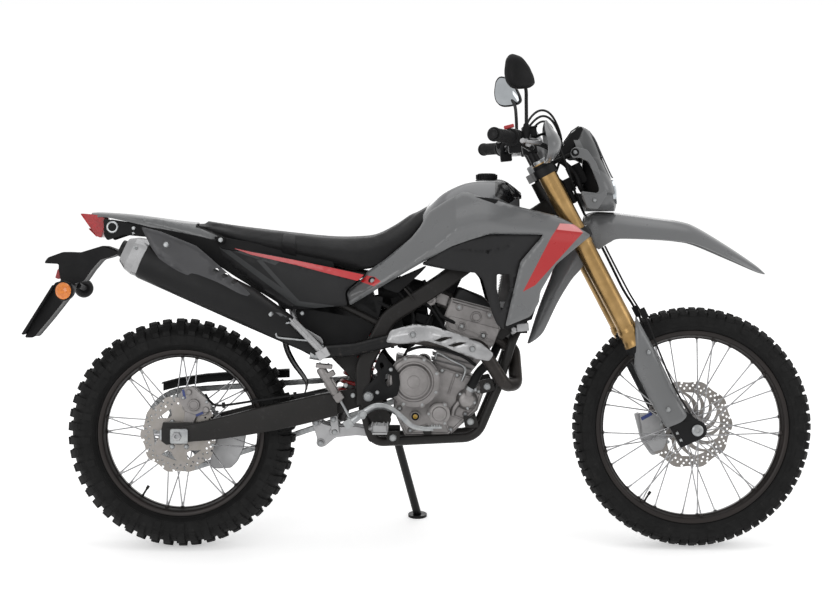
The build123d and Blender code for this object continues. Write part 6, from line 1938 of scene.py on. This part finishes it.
# shock: spring coils round the damper, reservoir, linkage with bolts
springLow, springHigh = Vector((480, 0, 430)), Vector((542, 0, 606))
springWay = springHigh - springLow
springAlong, springAcross, springOther = axisFrame(springWay)
turns, coilRadius = 7.5, 36.0
coilSpots = [springLow + springWay * (n / (turns * 14))
    + (springAcross * cos(2 * pi * n / 14) + springOther * sin(2 * pi * n / 14)) * coilRadius
    for n in range(int(turns * 14) + 1)]
meshPiece("shockSpring", tubePart(coilSpots, 5.6, 10, 60.0), "redSpring", "chassis")
shockParts = [turnedPart(springLow - springAlong * 8, springAlong, [(0, 0), (0, 38), (6, 38), (8, 30), (8, 0)], 32),
    turnedPart(springHigh, springAlong, [(0, 0), (0, 40), (12, 40), (18, 28), (44, 22), (44, 0)], 32),
    turnedPart(springLow, springAlong, [(-76, 0), (-76, 12), (-8, 12), (-8, 22), (190, 22), (190, 0)], 28),
    turnedPart((500, -52, 560), springAlong, [(0, 0), (0, 18), (4, 20), (70, 20), (74, 18), (74, 0)], 28)]
meshPiece("shockBody", shockParts, "darkCast", "chassis", ("rear_shock",))
linkShape = [(372, 356), (378, 368), (390, 370), (402, 354), (436, 344), (500, 346), (560, 332), (556, 314),
    (500, 320), (440, 314), (412, 290), (398, 285), (386, 294), (388, 312), (378, 342)]
linkParts = platePair(linkShape, 44, 6, 8)
linkParts += [turnedPart((x, -52, z), (0, 1, 0), [(0, 0), (0, r), (104, r), (104, 0)], 24) for x, z,
    r in ((386, 356, 12), (398, 299, 12), (433, 330, 11), (548, 323, 10))]
linkParts += platePair([(424, 374), (446, 378), (452, 326), (430, 320)], 58, 4, 5)
meshPiece("shockLinkage", linkParts, "satinAlloy", "chassis", bevel=1.5)
screwSet("linkageBolts", "chassis", onBoth([(386, 356), (398, 299), (435, 366), (438, 330)], 63, 8))
print("shock made")

# radiator on the left: core with fins, tanks, cap and louvres; the stand's bracket spring
fins = 34
finParts = [platePart([(932, 842), (964, 842), (937, 698), (905, 698)], 32, 144, 1.0)]
for n in range(fins):
    t = (n + 0.5) / fins
    x, z = 901 + 30 * t, 692 + 156 * t
    finParts.append(loftPart([[(x - 2, y, z), (x + 36, y, z), (x + 36, y, z + 1.2), (x - 2, y, z + 1.2)]
        for y in (34, 142)]))
meshPiece("radiatorCore", finParts, "darkCast", "chassis", ("radiator",))
tanks = [loftPart([[(x + (v - 850) * 0.19, y, v) for x, v in ((926, 842), (970, 842), (972, 862), (930, 862))]
    for y in (30, 146)]),
    loftPart([[(x, y, v) for x, v in ((896, 678), (940, 678), (942, 698), (900, 698))] for y in (30, 146)]),
    turnedPart((952, 60, 862), (0, 0, 1), [(0, 0), (0, 17), (8, 17), (10, 21), (18, 21), (20, 18), (20, 0)], 28)]
meshPiece("radiatorTanks", tanks, "satinAlloy", "chassis", bevel=2.0)
louvres = []
for n in range(7):
    x, z = 914 + 30 * n / 7 + 24, 700 + 21 * n
    louvres.append(loftPart([[(x + 14, y, z), (x + 24, y, z + 12), (x + 22, y, z + 14), (x + 12, y, z + 2)]
        for y in (32, 146)]))
meshPiece("radiatorLouvres", louvres, "blackPp", "chassis")
fittings = [boxPart((968, -92, 628), (34, 30, 22), 0.1), bossPart(944, 622, -84, 8, 16),
    tubePart([(938, -80, 610), (952, -86, 622)], 6, 10)]
meshPiece("lowerFittings", fittings, "satinAlloy", "chassis", bevel=2.0)
meshPiece("standBracketSpring", tubePart([Vector((600, 134, 330)), Vector((604, 132, 318))], 3, 8), "zincPlate",
    "chassis")
print("radiator made")

# infill: seat pan rails, lower case, starter, hoses and boxes seen in the gaps, and the last bosses
infill = platePair([(100, 884), (130, 880), (432, 828), (440, 796), (400, 790), (120, 850)], 99, 2, 6)
infill += platePair([(-110, 914), (-47, 905), (60, 884), (130, 866), (200, 800), (300, 700), (290, 690), (160, 770),
    (40, 850), (-100, 895)], 92, 2, 6)
infill += platePair([(330, 690), (480, 712), (578, 716), (566, 660), (534, 600), (510, 552), (440, 548), (380, 562),
    (332, 612)], 78, 6, 12)
meshPiece("underPanels", infill, "blackPp", "chassis", bevel=2.0)
starter = [turnedPart((640, -30, 600), (0, 1, 0), [(0, 0), (0, 32), (6, 36), (70, 36), (74, 30), (74, 0)], 32),
    boxPart((600, -52, 640), (60, 30, 70), 0.3), boxPart((690, -40, 650), (56, 40, 30), -0.3),
    boxPart((640, 0, 700), (90, 70, 60), 0.2), boxPart((596, 56, 640), (50, 26, 80), 0.3)]
meshPiece("starterAndBoxes", starter, "blackPp", "chassis", bevel=4.0)
clutter = [platePart([(604, 600), (622, 656), (664, 716), (698, 702), (706, 640), (690, 600)], -12, 12, 8),
    platePart([(716, 600), (712, 690), (742, 768), (798, 806), (812, 790), (788, 742), (770, 700), (752, 640),
    (744, 600)], -10, 10, 8)]
meshPiece("clutterBoxes", clutter, "blackPp", "chassis", bevel=3.0)
gussets = platePair([(405, 566), (500, 566), (514, 470), (500, 466), (470, 500)], 70, 3, 4)
meshPiece("frameGussets", gussets, "framePowder", "chassis", bevel=1.5)
tangle = [tubePart([(590, -72, 760), (640, -76, 700), (660, -74, 640), (620, -70, 570)], 6, 10),
    tubePart([(620, -80, 770), (668, -84, 716), (720, -78, 670), (760, -74, 600)], 5, 10),
    tubePart([(560, -78, 700), (604, -82, 680), (640, -84, 690), (700, -78, 730)], 7, 10),
    tubePart([(600, 70, 760), (650, 78, 700), (700, 74, 650), (740, 70, 590)], 6, 10),
    tubePart([(560, 74, 690), (600, 82, 640), (600, 80, 560)], 5, 10)]
meshPiece("tangle", tangle, "gripRubber", "chassis")
meshPiece("armBoss",
    [bossPart(546, 759, -124, 11, 4, 1.5), bossPart(546, 759, 124, 11, 4, 1.5, 1),
    bossPart(121, 873, -110, 11, 6, 1.5), bossPart(121, 873, 110, 11, 6, 1.5, 1)], "blackPp", "chassis")
screwSet("armTipScrews", "chassis", onBoth([(546, 759)], 128, 7) + onBoth([(121, 873)], 117, 7)
    + onBoth([(350, 668)], 126, 6))
foldedPegs, pegLoops = [], []
for side in (-1, 1):
    y = side * (204 if side < 0 else 160)
    foldedPegs.append(tubePart([(326, y, 652), (370, y, 608), (410, y, 566)], 11, 16, flatten=0.8))
    foldedPegs += [boxPart((330 + 16 * n, y, 648 - 16.5 * n), (4, 26, 28), 0.8) for n in range(6)]
    foldedPegs += [boxPart((412, y, 560), (34, 26, 26), 0.5)]
    pegLoops.append(tubePart([(324, y, 646), (300, y, 640), (286, y, 622), (286, y, 606), (330, y, 600),
        (372, y, 596)], 3, 10))
meshPiece("foldedPegs", foldedPegs, "satinAlloy", "chassis", bevel=1.0)
meshPiece("pegLoops", pegLoops, "zincPlate", "chassis")
print("infill made")


def softLight(name, spot, target, size, power):
    # an area lamp in the shared frame, metres and watts
    lamp = bpy.data.lights.new(name, "AREA")
    lamp.shape, lamp.size, lamp.energy = "DISK", size, power
    holder = bpy.data.objects.new(name, lamp)
    holder.location = spot
    holder.rotation_euler = (Vector(target) - Vector(spot)).to_track_quat("-Z", "Y").to_euler()
    bpy.context.scene.collection.objects.link(holder)


# the camera looks square at the bike's middle plane; lengths of the set itself are metres
pictureLook = {
    "camera": {"x": 678.0, "away": 5500.0, "z": 860.0, "lens": 82.5, "shiftY": -0.073},
    # name, place, size, watts
    "lights": (("overhead", (0.1, 0.2, 3.4), 3.2, 27), ("besideCamera", (-1.6, -3.6, 1.9), 2.0, 22),
        ("aheadFill", (3.2, -1.4, 1.6), 1.6, 10), ("behindFill", (0.2, 3.4, 1.8), 2.4, 14)),
    "aim": (0.05, -0.1, 0.6), "floorReach": 30.0, "paperGlow": 0.42, "worldStrength": 0.62,
}


def pictureSet(look):
    camera = look["camera"]
    lens = bpy.data.cameras.new("camera")
    lens.lens, lens.sensor_width, lens.shift_y = camera["lens"], 36.0, camera["shiftY"]
    holder = bpy.data.objects.new("camera", lens)
    facing = Matrix(((1, 0, 0, 0), (0, 0, -1, 0), (0, 1, 0, 0), (0, 0, 0, 1)))  # looks along +y, up is z
    spot = bikeToRow @ Vector((camera["x"], -camera["away"], camera["z"]))
    holder.matrix_world = Matrix.Translation(spot) @ leanTurn @ facing
    bpy.context.scene.collection.objects.link(holder)
    bpy.context.scene.camera = holder
    for name, spot, size, power in look["lights"]:
        softLight(name, spot, look["aim"], size, power)
    floorMesh = bpy.data.meshes.new("floor")
    far = look["floorReach"]
    floorMesh.from_pydata([(-far, -far, 0), (far, -far, 0), (far, far, 0), (-far, far, 0)], [], [(0, 1, 2, 3)])
    floor = bpy.data.objects.new("floor", floorMesh)
    bpy.context.scene.collection.objects.link(floor)
    card = bpy.data.materials.new("whiteCard")
    card.use_nodes = True
    tree = card.node_tree
    tree.nodes.clear()
    # white card: takes the shadow, and glows up to paper white
    paper = addNode(tree, "ShaderNodeBsdfDiffuse", None, Color=linear("#FFFFFF"))
    glow = addNode(tree, "ShaderNodeEmission", None, Color=linear("#FFFFFF"), Strength=look["paperGlow"])
    addNode(tree, "ShaderNodeOutputMaterial", None,
        Surface=addNode(tree, "ShaderNodeAddShader", None, i0=paper, i1=glow))
    floorMesh.materials.append(card)
    world = bpy.data.worlds.new("studio")
    world.use_nodes = True
    tree = world.node_tree
    tree.nodes.clear()
    ray = addNode(tree, "ShaderNodeLightPath")
    seen = addNode(tree, "ShaderNodeMath", {"operation": "MAXIMUM"}, i0=ray.outputs["Is Camera Ray"],
        i1=ray.outputs["Is Glossy Ray"])
    seen = addNode(tree, "ShaderNodeMath", {"operation": "MAXIMUM"}, i0=seen, i1=ray.outputs["Is Transmission Ray"])
    level = addNode(tree, "ShaderNodeMapRange", None, Value=seen, ToMin=look["worldStrength"], ToMax=1.0)
    sky = addNode(tree, "ShaderNodeBackground", None, Color=linear("#FFFFFF"), Strength=level)
    addNode(tree, "ShaderNodeOutputWorld", None, Surface=sky)
    bpy.context.scene.world = world
    bpy.context.scene.view_settings.view_transform = "Standard"


pictureSet(pictureLook)
